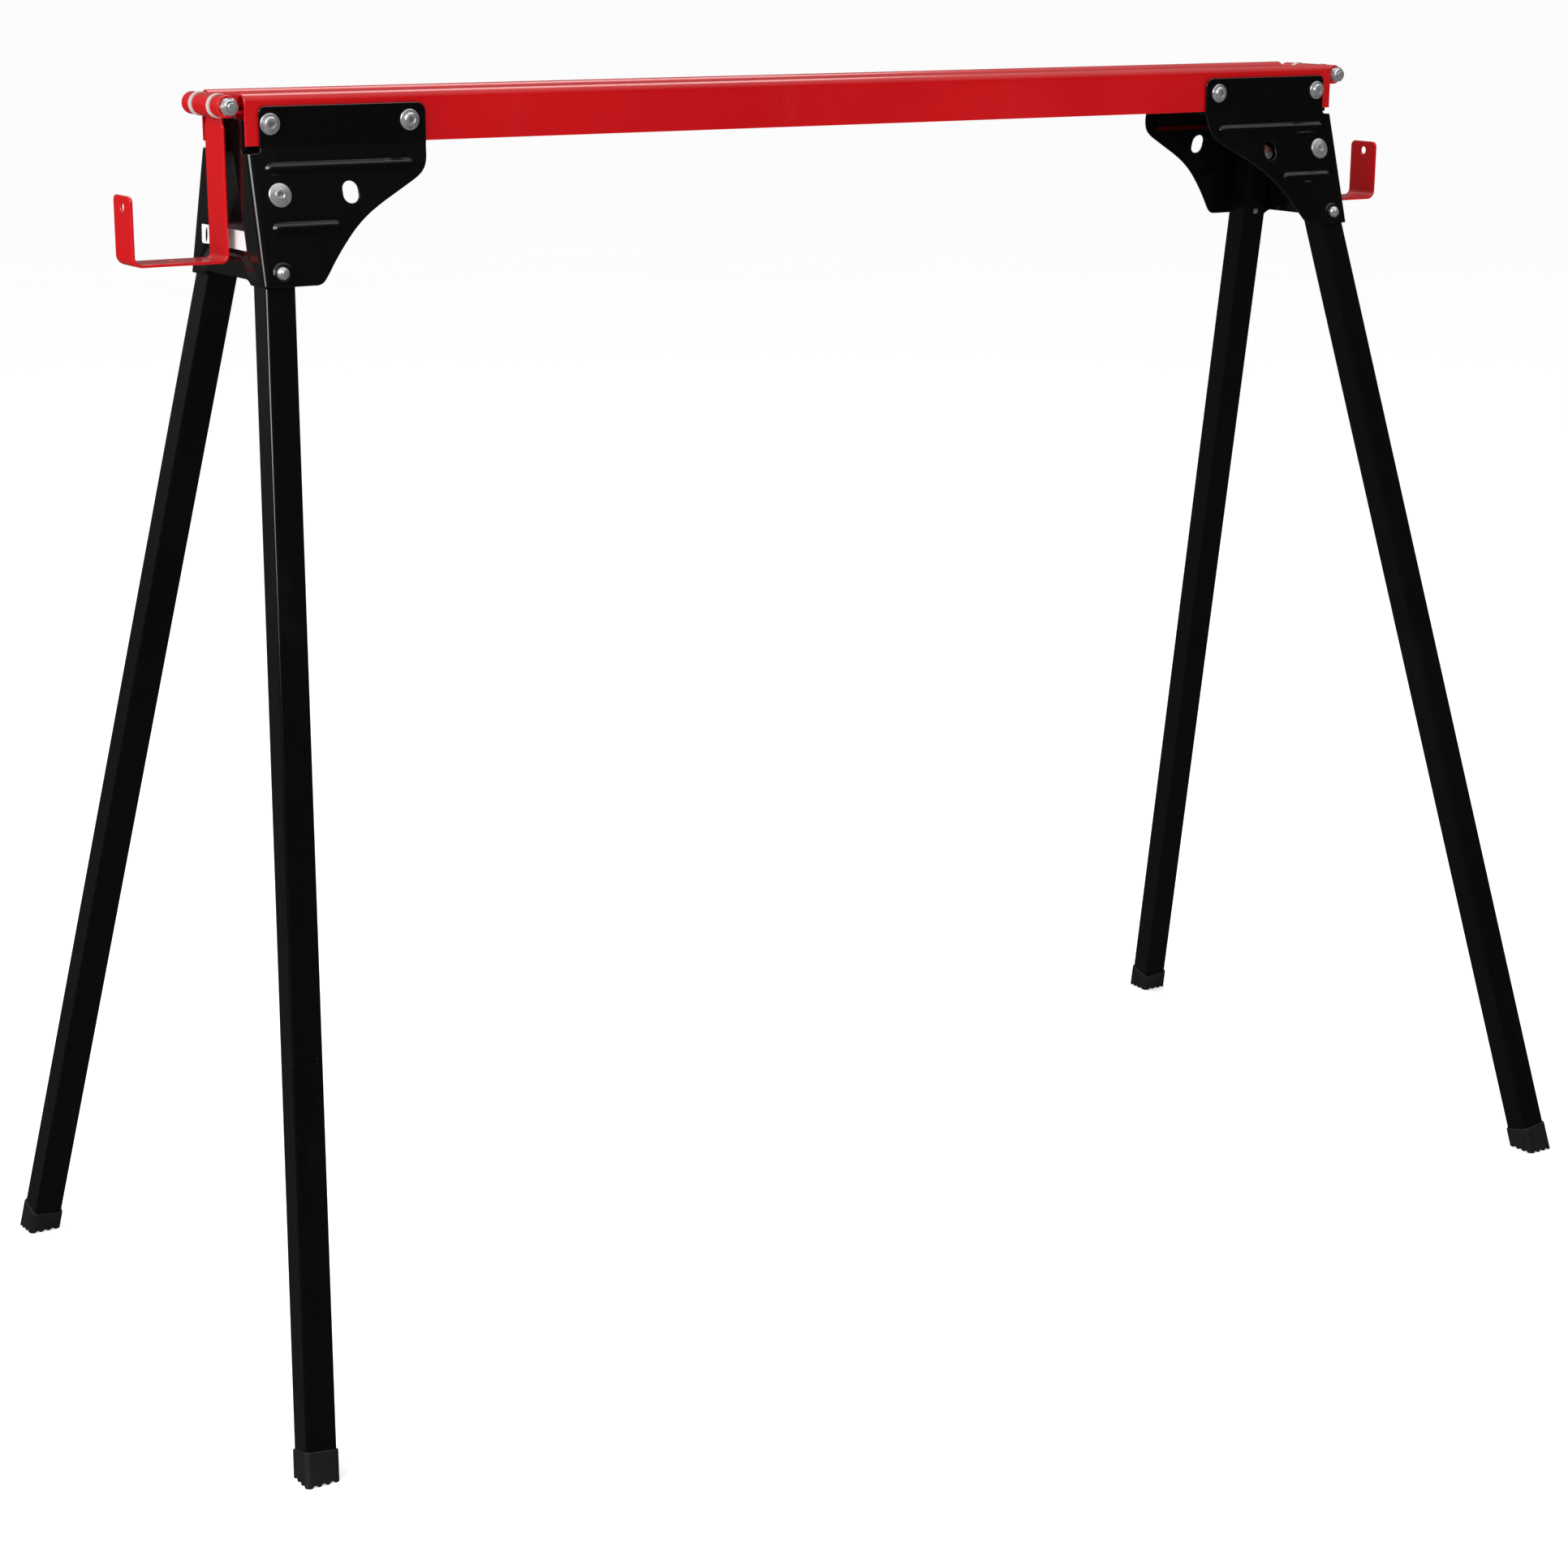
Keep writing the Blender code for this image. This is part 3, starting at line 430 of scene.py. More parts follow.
def powder_coat(name, colour, gloss, ripple_size, depth, worn_and_highlit_edge, marks):
    """Glossy powder coat: orange peel, thin edges painted brighter as wear and as a painted highlight,
    smears, hairlines and a little dust.
    """
    mat, tree, shader = blank(name, gloss, Coat_Weight=0.35, Coat_Roughness=0.06, Coat_IOR=1.5)
    cloud = spread(tree, noise(tree, place_on_piece(tree, shift=(0.7, 2.2, 0.3)), 7.0, 3.0, 0.5), 0.3, 0.7)
    smear = shared(tree, "Handling Marks", Patch_Scale=11.0, Smear_Scale=55.0, Amount=marks).outputs["Mask"]
    lines = shared(tree, "Hairlines", Line_Scale=38.0, Amount=marks * 0.5).outputs["Mask"]
    edges = shared(tree, "Edge Wear", Amount=0.55).outputs["Mask"]
    dust = shared(tree, "Dust", Speck_Scale=380.0, Amount=marks * 0.35).outputs["Mask"]
    base = tint(tree, shaded(colour, 0.93), shaded(colour, 1.07), cloud)
    # Edge colour over the edge mask: wear and a painted highlight along the edges.
    base = tint(tree, base, worn_and_highlit_edge, edges)
    pale = tuple(c * 0.85 + 0.03 for c in colour[:3])
    base = tint(tree, base, pale, maths(tree, "MULTIPLY", maths(tree, "MAXIMUM", smear, lines), 0.12))
    base = tint(tree, base, (0.35, 0.33, 0.31), dust)
    tree.links.new(base, shader.inputs["Base Color"])
    rough = maths(tree, "ADD", maths(tree, "MULTIPLY", cloud, 0.03), gloss - 0.015)
    rough = maths(tree, "ADD", rough, maths(tree, "MULTIPLY", smear, 0.14))
    rough = maths(tree, "ADD", rough, maths(tree, "MULTIPLY", lines, 0.22))
    tree.links.new(
        maths(tree, "ADD", rough, maths(tree, "MULTIPLY", dust, 0.5), clamp=True), shader.inputs["Roughness"]
    )
    peel = shared(tree, "Orange Peel", Ripple_Scale=ripple_size, Fine_Share=0.2).outputs["Height"]
    ripple(tree, shader, peel, depth)
    return mat


def plated_steel(name, colour, gloss, scale, dull=0.0):
    """Bright zinc plating: slightly uneven colour and gloss, with its edges laid brighter."""
    mat, tree, shader = blank(name, gloss, 0.8)
    where = place_on_piece(tree)
    cloud = spread(tree, noise(tree, where, scale, 4.0, 0.6), 0.32, 0.68)
    fine = noise(tree, where, scale * 9.0, 2.0)
    edges = shared(tree, "Edge Wear", Amount=0.6).outputs["Mask"]
    marks = shared(tree, "Handling Marks", Patch_Scale=60.0, Smear_Scale=260.0, Amount=0.9).outputs["Mask"]
    base = tint(
        tree, tuple(c * t for c, t in zip(shaded(colour, 0.82 - dull), (1.0, 1.0, 1.02))),
        shaded(colour, 1.04), cloud
    )
    # Edges laid brighter by the edge mask.
    base = tint(tree, base, shaded(colour, 1.14), edges)
    base = tint(tree, base, shaded(colour, 0.6), maths(tree, "MULTIPLY", marks, 0.4))
    tree.links.new(base, shader.inputs["Base Color"])
    rough = maths(tree, "ADD", maths(tree, "MULTIPLY", fine, 0.12), gloss - 0.05)
    tree.links.new(
        maths(tree, "ADD", rough, maths(tree, "MULTIPLY", marks, 0.18), clamp=True),
        shader.inputs["Roughness"]
    )
    peel = shared(tree, "Orange Peel", Ripple_Scale=1500.0, Fine_Share=0.6).outputs["Height"]
    ripple(tree, shader, peel, 0.000008)
    return mat


def moulded_rubber(name, colour):
    """Dull moulded rubber, its edges painted paler as rubbing and as a painted highlight on the chamfer, with
    dust in the grain.
    """
    mat, tree, shader = blank(name, 0.55, Specular_IOR_Level=0.45)
    grain = shared(tree, "Mould Grain", Grain_Scale=2300.0, Flow_Scale=70.0)
    edges = shared(tree, "Edge Wear", Amount=0.5).outputs["Mask"]
    dust = shared(tree, "Dust", Speck_Scale=520.0, Amount=0.35).outputs["Mask"]
    base = tint(tree, shaded(colour, 0.85), shaded(colour, 1.2), grain.outputs["Tone"])
    # Edges laid paler: rubbed rubber and a painted highlight on the chamfer.
    base = tint(tree, base, shaded(colour, 2.6), edges)
    tree.links.new(tint(tree, base, (0.25, 0.24, 0.23), dust), shader.inputs["Base Color"])
    tree.links.new(
        maths(tree, "ADD", maths(tree, "MULTIPLY", grain.outputs["Tone"], 0.1), 0.5),
        shader.inputs["Roughness"]
    )
    ripple(tree, shader, grain.outputs["Height"], 0.00006, 0.8)
    return mat


def moulded_nylon(name, colour):
    """Milky nylon with a faint flow pattern."""
    mat, tree, shader = blank(name, 0.38, Subsurface_Weight=0.25, Subsurface_Scale=0.0015)
    grain = shared(tree, "Mould Grain", Grain_Scale=1800.0, Flow_Scale=120.0)
    edges = shared(tree, "Edge Wear", Amount=0.3).outputs["Mask"]
    base = tint(tree, shaded(colour, 0.93), shaded(colour, 1.03), grain.outputs["Tone"])
    tree.links.new(tint(tree, base, (0.9, 0.88, 0.86), edges), shader.inputs["Base Color"])
    tree.links.new(
        maths(tree, "ADD", maths(tree, "MULTIPLY", grain.outputs["Tone"], 0.1), 0.32),
        shader.inputs["Roughness"]
    )
    ripple(tree, shader, grain.outputs["Height"], 0.00002, 0.6)
    return mat


def label_film(name):
    """Matt white label film with a faint fibre."""
    mat, tree, shader = blank(name, 0.42)
    fibre = noise(tree, place_on_piece(tree, (1, 0.25, 1)), 900.0, 3.0, 0.65)
    marks = shared(tree, "Handling Marks", Patch_Scale=70.0, Smear_Scale=200.0, Amount=0.5).outputs["Mask"]
    base = tint(tree, (0.78, 0.76, 0.76), (0.86, 0.85, 0.85), spread(tree, fibre, 0.3, 0.7))
    tree.links.new(
        tint(tree, base, (0.6, 0.58, 0.57), maths(tree, "MULTIPLY", marks, 0.4)), shader.inputs["Base Color"]
    )
    tree.links.new(maths(tree, "ADD", maths(tree, "MULTIPLY", fibre, 0.12), 0.36), shader.inputs["Roughness"])
    ripple(tree, shader, fibre, 0.00001)
    return mat


FINISHES = {}


def finish(slot):
    """The material for a slot, made once."""
    if slot not in FINISHES:
        chosen = bpy.context.scene.sawhorse_finishes
        makers = {
            # Each powder coat's third colour is laid along its edges: wear and a painted highlight.
            "red_paint": lambda: powder_coat(
                "Red powder coat", chosen.beam_paint, 0.2, 520.0, 0.000016, (
                    0.62, 0.012, 0.018
                ), chosen.handling
            ),
            "black_paint": lambda: powder_coat(
                "Black powder coat", chosen.frame_paint, 0.14, 430.0, 0.000014, (
                    0.012, 0.012, 0.013
                ), chosen.handling
            ),
            "zinc": lambda: plated_steel("Zinc plating", chosen.plating, 0.26, 260.0),
            "spring_steel": lambda: plated_steel(
                "Spring steel", shaded(chosen.plating, 0.6), 0.33, 120.0, 0.1
            ),
            "cap_rubber": lambda: moulded_rubber("Foot cap rubber", chosen.rubber),
            "nylon": lambda: moulded_nylon("Bushing nylon", chosen.nylon),
            "label": lambda: label_film("Label film"),
        }
        FINISHES[slot] = makers[slot]()
    return FINISHES[slot]


# ---- flat shapes ----


def arc(cx, cy, r, a0, a1, steps):
    """Points along an arc, in degrees, both ends included."""
    angles = [math.radians(a0 + (a1 - a0) * i / steps) for i in range(steps + 1)]
    return [(cx + r * math.cos(a), cy + r * math.sin(a)) for a in angles]


def circle(cx, cy, r, count=40):
    return arc(cx, cy, r, 0, 360 - 360 / count, count - 1)


def stadium(x0, x1, y, r, steps=14):
    """A bar from x0 to x1 with round ends of radius r."""
    return arc(x1 - r, y, r, -90, 90, steps) + arc(x0 + r, y, r, 90, 270, steps)


def rounded(corners, steps=8):
    """A closed outline through (x, y, radius) corners, each rounded by its radius."""
    points = []
    count = len(corners)
    for i, (x, y, r) in enumerate(corners):
        here = Vector((x, y))
        if r <= 0:
            points.append((x, y))
            continue
        before = (Vector(corners[i - 1][:2]) - here).normalized()
        after = (Vector(corners[(i + 1) % count][:2]) - here).normalized()
        half = before.angle(after) / 2
        centre = here + (before + after).normalized() * (r / math.sin(half))
        first = here + before * (r / math.tan(half)) - centre
        turn = first.angle_signed(here + after * (r / math.tan(half)) - centre)
        for k in range(steps + 1):
            a = -turn * k / steps
            x1 = centre.x + first.x * math.cos(a) - first.y * math.sin(a)
            points.append((x1, centre.y + first.x * math.sin(a) + first.y * math.cos(a)))
    return points


def eased(points, steps=5):
    """A smooth curve through the points, by Catmull-Rom."""
    found = [Vector(points[0])]
    for i in range(len(points) - 1):
        a, b, c, d = (Vector(points[min(max(j, 0), len(points) - 1)]) for j in (i - 1, i, i + 1, i + 2))
        for k in range(1, steps + 1):
            t = k / steps
            found.append(0.5 * (
                (2 * b) + (c - a) * t + (2 * a - 5 * b + 4 * c - d) * t * t
                + (3 * b - a - 3 * c + d) * t ** 3
            ))
    return [(p.x, p.y) for p in found]


def anticlockwise(loop):
    """The loop without doubled points, turning to the left."""
    kept = []
    for point in loop:
        if not kept or (Vector(point) - Vector(kept[-1])).length > 1e-3:
            kept.append(tuple(point))
    if (Vector(kept[0]) - Vector(kept[-1])).length <= 1e-3:
        kept.pop()
    area = sum(a[0] * b[1] - b[0] * a[1] for a, b in zip(kept, kept[1:] + kept[:1]))
    return kept if area > 0 else kept[::-1]


def mitres(loop):
    """For each corner of a left-turning loop, the step that moves it inwards by one."""
    found = []
    for i, here in enumerate(loop):
        before, after = Vector(here) - Vector(loop[i - 1]), Vector(loop[(i + 1) % len(loop)]) - Vector(here)
        n0, n1 = (Vector((-d.y, d.x)).normalized() for d in (before, after))
        found.append((n0 + n1) / max(1 + n0.dot(n1), 0.4))
    return found


def moved_in(loop, distance):
    loop = anticlockwise(loop)
    return [(p[0] + m.x * distance, p[1] + m.y * distance) for p, m in zip(loop, mitres(loop))]


def within(points, loop):
    """Which of the points lie inside the loop."""
    x, y = points[:, 0], points[:, 1]
    found = np.zeros(len(points), bool)
    for (x0, y0), (x1, y1) in zip(loop, loop[1:] + loop[:1]):
        if y0 != y1:
            found ^= ((y0 > y) != (y1 > y)) & (x < x0 + (y - y0) * (x1 - x0) / (y1 - y0))
    return found


# ---- meshes ----


def mesh_of(name, verts, faces, edge=None):
    """A closed mesh with its faces out, and its edge attribute."""
    mesh = bpy.data.meshes.new(name)
    mesh.from_pydata([tuple(v) for v in verts], [], faces)
    bm = bmesh.new()
    bm.from_mesh(mesh)
    bmesh.ops.recalc_face_normals(bm, faces=bm.faces)
    if bm.calc_volume(signed=True) < 0:
        bmesh.ops.reverse_faces(bm, faces=bm.faces)
    bm.to_mesh(mesh)
    bm.free()
    if edge is not None:
        mesh.attributes.new("edge", "FLOAT", "POINT").data.foreach_set("value", np.asarray(edge, np.float32))
    return mesh


def soft_shading(mesh, angle=38):
    mesh.shade_smooth()
    mesh.set_sharp_from_angle(angle=math.radians(angle))
    return mesh


def mark_edges(mesh, low=24, high=60):
    """Sets the edge attribute from how sharply the faces turn outwards at each point."""
    bm = bmesh.new()
    bm.from_mesh(mesh)
    values = np.zeros(len(bm.verts), np.float32)
    for vert in bm.verts:
        turns = [
            math.degrees(e.calc_face_angle_signed(0.0)) for e in vert.link_edges if len(e.link_faces) == 2
        ]
        values[vert.index] = min(max((max(turns, default=0.0) - low) / (high - low), 0.0), 1.0)
    bm.free()
    found = mesh.attributes.get("edge") or mesh.attributes.new("edge", "FLOAT", "POINT")
    found.data.foreach_set("value", values)
    return mesh


def sheet(name, surface, outline, holes, creases, thickness, lift=None, guides=(), rim=0.5, hold=0.7):
    """Bends a flat pattern into a sheet of even thickness with rounded cut edges.

    surface(u, v) gives the mid surface's point and its offset direction, and lift(u, v) how far a pressed
    shape moves it. guides are closed loops that carry the pressed shapes, and creases open lines across the
    bends.
    """
    lift = lift or (lambda u, v: 0.0)
    points, edges = [], []

    def add(chain, closed):
        base = len(points)
        points.extend(Vector(p) for p in chain)
        edges.extend((base + i, base + (i + 1) % len(chain)) for i in range(len(chain) - (not closed)))

    cut_loops, starts, ends, outs = [], [], [], []
    for number, loop in enumerate((outline, *holes)):
        loop = anticlockwise(loop)
        steps = [m * (1 if number == 0 else -1) for m in mitres(loop)]
        inner = [(p[0] + m.x * rim, p[1] + m.y * rim) for p, m in zip(loop, steps)]
        cut_loops.append(inner)
        add(inner, True)
        if hold:
            add([(p[0] + m.x * (rim + hold), p[1] + m.y * (rim + hold)) for p, m in zip(loop, steps)], True)
        starts += inner
        ends += inner[1:] + inner[:1]
        outs += [(-steps[i], -steps[(i + 1) % len(steps)]) for i in range(len(steps))]
    for guide in guides:
        add(guide, True)
    for crease in creases:
        add(crease, False)
    verts, _, tris, *_ = delaunay_2d_cdt(points, edges, [], 0, 1e-5)
    flat = np.array([tuple(v) for v in verts])
    tris = np.array([tuple(t) for t in tris if len(t) == 3])
    centres = flat[tris].mean(axis=1)
    keep = within(centres, cut_loops[0])
    for loop in cut_loops[1:]:
        keep &= ~within(centres, loop)
    tris = tris[keep]
    used, numbered = np.unique(tris, return_inverse=True)
    tris = numbered.reshape(-1, 3)
    flat = flat[used]
    sides = {}
    for a, b, c in tris.tolist():
        for e in ((a, b), (b, c), (c, a)):
            if (e[1], e[0]) in sides:
                del sides[(e[1], e[0])]
            else:
                sides[e] = True
    rim_verts = sorted({i for e in sides for i in e})
    starts, ends = np.array(starts), np.array(ends)
    along = ends - starts
    outwards = {}
    for i in rim_verts:
        t = np.clip(((flat[i] - starts) * along).sum(axis=1) / (along ** 2).sum(axis=1), 0, 1)
        gap = np.linalg.norm(starts + along * t[:, None] - flat[i], axis=1)
        nearest = int(gap.argmin())
        outwards[i] = outs[nearest][0].lerp(outs[nearest][1], float(t[nearest]))
    half = thickness / 2
    quarter = [(math.sin(math.radians(a)), math.cos(math.radians(a))) for a in (22.5, 45, 67.5, 90)]
    rows = [(rim * s, half - rim + rim * c) for s, c in quarter]
    rows += [(o, -h) for o, h in reversed(rows) if h > 1e-6]
    mid = [(Vector(p), *surface(*p)) for p in flat]
    lifts = [lift(*p) for p in flat]
    made = [p + n * (l + half) for (_, p, n), l in zip(mid, lifts)]
    made += [p + n * (l - half) for (_, p, n), l in zip(mid, lifts)]
    edge = [0.0] * len(made)
    for i in rim_verts:
        edge[i] = edge[i + len(flat)] = 0.35
    faces = [(a, b, c) for a, b, c in tris.tolist()]
    count = len(flat)
    faces += [(c + count, b + count, a + count) for a, b, c in tris.tolist()]
    chains = {}
    for i in rim_verts:
        chain = [i]
        for out, height in rows:
            at = mid[i][0] + outwards[i] * out
            p, n = surface(at.x, at.y)
            chain.append(len(made))
            made.append(p + n * (lifts[i] + height))
            edge.append(1.0)
        chains[i] = chain + [i + count]
    for a, b in sides:
        for k in range(len(rows) + 1):
            faces.append((chains[b][k], chains[a][k], chains[a][k + 1], chains[b][k + 1]))
    return soft_shading(mesh_of(name, made, faces, edge))


class Path:
    """A polyline with mitred offsets, read by its length."""

    def __init__(self, points):
        self.points = [Vector(p) for p in points]
        self.lengths = [0.0]
        for a, b in zip(self.points, self.points[1:]):
            self.lengths.append(self.lengths[-1] + (b - a).length)
        normals = [Vector((-(b - a).y, (b - a).x)).normalized() for a, b in zip(self.points, self.points[1:])]
        self.offsets = [normals[0]]
        for n0, n1 in zip(normals, normals[1:]):
            mean = (n0 + n1).normalized()
            self.offsets.append(mean / mean.dot(n0))
        self.offsets.append(normals[-1])

    def at(self, u):
        i = min(max(int(np.searchsorted(self.lengths, u)) - 1, 0), len(self.lengths) - 2)
        t = (u - self.lengths[i]) / (self.lengths[i + 1] - self.lengths[i])
        return self.points[i].lerp(self.points[i + 1], t), self.offsets[i].lerp(self.offsets[i + 1], t)

    def creases(self, low, high, hold=0.6):
        """A line across each bend, and one each side of it where a flat begins."""
        found = list(self.lengths[1:-1])
        for a, b in zip(self.lengths, self.lengths[1:]):
            if b - a > 3 * hold:
                found += [a + hold, b - hold]
        return [[(u, low), (u, high)] for u in sorted(found)]


def stack(name, rings, matrix=None, closed=False):
    """Joins rings of equal count, or a single point at a pole, into one closed surface."""
    verts, rows = [], []
    for ring in rings:
        rows.append(range(len(verts), len(verts) + len(ring)))
        verts += [Vector(p) for p in ring]
    count = max(len(row) for row in rows)
    pairs = list(zip(rows, rows[1:]))
    if closed:
        pairs.append((rows[-1], rows[0]))
    faces = []
    for low, high in pairs:
        for i in range(count):
            j = (i + 1) % count
            quad = (low[i % len(low)], low[j % len(low)], high[j % len(high)], high[i % len(high)])
            face = tuple(dict.fromkeys(quad))
            if len(face) > 2:
                faces.append(face)
    if matrix is not None:
        verts = [matrix @ v for v in verts]
    return soft_shading(mark_edges(mesh_of(name, verts, faces)))


def ring(r, z, count=36):
    """A circle of points, or a pole."""
    if r < 1e-6:
        return [(0.0, 0.0, z)]
    return [
        (r * math.cos(2 * math.pi * i / count), r * math.sin(2 * math.pi * i / count), z)
        for i in range(count)
    ]


def hexagon(af, z, most=1e9, count=36):
    """A hexagon by its width across flats, its corners cut back to a radius."""
    points = []
    for i in range(count):
        a = 2 * math.pi * i / count
        off = (a % (math.pi / 3)) - math.pi / 6
        r = min(af / 2 / math.cos(off), most)
        points.append((r * math.cos(a), r * math.sin(a), z))
    return points


def threaded(r, low, high, pitch, count=36, steps=5):
    """Rings up a bolt whose radius follows a helical thread, its crests running out at both ends."""
    rings = []
    total = max(2, round((high - low) / pitch * steps))
    for k in range(total + 1):
        z = low + (high - low) * k / total
        fade = min((z - low) / pitch, (high - z) / pitch, 1.0)
        row = []
        for i in range(count):
            phase = (z / pitch - i / count) % 1.0
            here = r - 0.36 * (1 - abs(2 * phase - 1)) * max(fade, 0.0)
            a = 2 * math.pi * i / count
            row.append((here * math.cos(a), here * math.sin(a), z))
        rings.append(row)
    return rings


def boolean(base, tools, operation="DIFFERENCE"):
    """The Boolean of a mesh with some others, which are used up."""
    holder = bpy.data.objects.new("holder", base)
    bpy.context.scene.collection.objects.link(holder)
    cutters = []
    for tool in tools:
        cutter = bpy.data.objects.new("cutter", tool)
        bpy.context.scene.collection.objects.link(cutter)
        modifier = holder.modifiers.new("cut", "BOOLEAN")
        modifier.operation, modifier.solver, modifier.object = operation, "EXACT", cutter
        cutters.append(cutter)
    mesh = bpy.data.meshes.new_from_object(holder.evaluated_get(bpy.context.evaluated_depsgraph_get()))
    for obj in (holder, *cutters):
        used = obj.data
        bpy.data.objects.remove(obj, do_unlink=True)
        bpy.data.meshes.remove(used)
    bm = bmesh.new()
    bm.from_mesh(mesh)
    bmesh.ops.remove_doubles(bm, verts=bm.verts, dist=1e-3)
    bmesh.ops.dissolve_degenerate(bm, edges=bm.edges, dist=1e-3)
    bm.to_mesh(mesh)
    bm.free()
    return mesh


def separate(mesh):
    """Each loose body of a mesh as a mesh of its own, because cutters that cross can't share one."""
    bm = bmesh.new()
    bm.from_mesh(mesh)
    left, found = set(bm.verts), []
    while left:
        body, reach = set(), [next(iter(sorted(left, key=lambda v: v.index)))]
        while reach:
            vert = reach.pop()
            if vert not in body:
                body.add(vert)
                reach += [e.other_vert(vert) for e in vert.link_edges]
        left -= body
        numbered = {v: i for i, v in enumerate(sorted(body, key=lambda v: v.index))}
        faces = [[numbered[v] for v in f.verts] for f in bm.faces if f.verts[0] in body]
        found.append(mesh_of("body", [v.co.copy() for v in numbered], faces))
    bm.free()
    return found


def evened(mesh, bevel=0.0):
    """Rounds the sharp edges by a small bevel and evens the shading, so that flat faces stay flat."""
    holder = bpy.data.objects.new("holder", mesh)
    bpy.context.scene.collection.objects.link(holder)
    if bevel:
        rounding = holder.modifiers.new("rounding", "BEVEL")
        rounding.width, rounding.segments, rounding.limit_method = bevel, 3, "ANGLE"
        rounding.angle_limit, rounding.use_clamp_overlap = math.radians(50), True
    holder.modifiers.new("shading", "WEIGHTED_NORMAL").keep_sharp = True
    made = bpy.data.meshes.new_from_object(holder.evaluated_get(bpy.context.evaluated_depsgraph_get()))
    bpy.data.objects.remove(holder, do_unlink=True)
    bpy.data.meshes.remove(mesh)
    return made


def frame_of(origin, x, y, z):
    m = Matrix.Identity(4)
    for column, axis in enumerate((x, y, z)):
        for row in range(3):
            m[row][column] = axis[row]
    m.translation = Vector(origin)
    return m


def mirrored(mesh, end):
    """Turns a shape made for the left end into the one for the right end."""
    if end > 0:
        mesh.transform(Matrix.Scale(-1, 4, (1, 0, 0)))
        mesh.flip_normals()
    return mesh


def add_piece(name, mesh, slot, body, replaced=(), matrix=None, metres=False, material=None):
    """Links a finished mesh, places and scales it in its points, and ties it to the frame."""
    sides = {}
    for face in mesh.polygons:
        for key in face.edge_keys:
            sides[key] = sides.get(key, 0) + 1
    if not sides or any(count != 2 for count in sides.values()):
        raise RuntimeError(f"{name} isn't a closed mesh: {len(mesh.polygons)} faces")
    if matrix is not None:
        mesh.transform(matrix)
    if not metres:
        mesh.transform(Matrix.Scale(MM, 4))
    mesh.name = name
    mesh.materials.clear()
    mesh.materials.append(material or finish(slot))
    obj = bpy.data.objects.new(name, mesh)
    bpy.context.scene.collection.objects.link(obj)
    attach(obj, body)
    if replaced:
        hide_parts(*replaced)
    return obj


# ---- geometry node trees ----


def geometry_tree(name, inputs):
    """A geometry node tree with its geometry sockets and named inputs."""
    tree = bpy.data.node_groups.new(name, "GeometryNodeTree")
    tree.interface.new_socket("Geometry", in_out="INPUT", socket_type="NodeSocketGeometry")
    for label, kind, default in inputs:
        socket = tree.interface.new_socket(label, in_out="INPUT", socket_type="NodeSocket" + kind)
        if default is not None:
            socket.default_value = default
    tree.interface.new_socket("Geometry", in_out="OUTPUT", socket_type="NodeSocketGeometry")
    return tree, tree.nodes.new("NodeGroupInput"), tree.nodes.new("NodeGroupOutput")


def end_tree(tree, given, out, geometry):
    """Realises the copies, gives them their finish and ends the tree."""
    real = node(tree, "GeometryNodeRealizeInstances", {"Geometry": geometry})
    done = node(
        tree, "GeometryNodeSetMaterial", {"Geometry": real.outputs[0], "Material": given.outputs["Finish"]}
    )
    tree.links.new(done.outputs[0], out.inputs["Geometry"])
    return tree


def copies_tree():
    """Copies of a part on points, each turned as its point says and spun by chance round its own axis."""
    tree, given, out = geometry_tree("Copies on Points", (
        ("Part", "Object", None), (
            "Finish", "Material", None
        ), ("Most Spin", "Float", 0.0), ("Seed", "Int", 0),
    ))
    part = node(tree, "GeometryNodeObjectInfo", {"Object": given.outputs["Part"]})
    turn = node(tree, "GeometryNodeInputNamedAttribute", {"Name": "turn"}, data_type="QUATERNION")
    least = maths(tree, "MULTIPLY", given.outputs["Most Spin"], -1.0)
    chance = tree.nodes.new("FunctionNodeRandomValue")
    chance.data_type = "FLOAT"
    tree.links.new(least, chance.inputs[2])
    tree.links.new(given.outputs["Most Spin"], chance.inputs[3])
    tree.links.new(given.outputs["Seed"], chance.inputs["Seed"])
    spin = node(tree, "FunctionNodeAxisAngleToRotation", {"Axis": (0, 0, 1), "Angle": chance.outputs[1]})
    turned = node(
        tree, "FunctionNodeRotateRotation", {"Rotation": turn.outputs[0], "Rotate By": spin.outputs[0]},
        rotation_space="LOCAL",
    )
    points = node(tree, "GeometryNodeMeshToPoints", {"Mesh": given.outputs["Geometry"]})
    copies = node(tree, "GeometryNodeInstanceOnPoints", {
        "Points": points.outputs[0], "Instance": part.outputs["Geometry"], "Rotation": turned.outputs[0],
    })
    return end_tree(tree, given, out, copies.outputs[0])


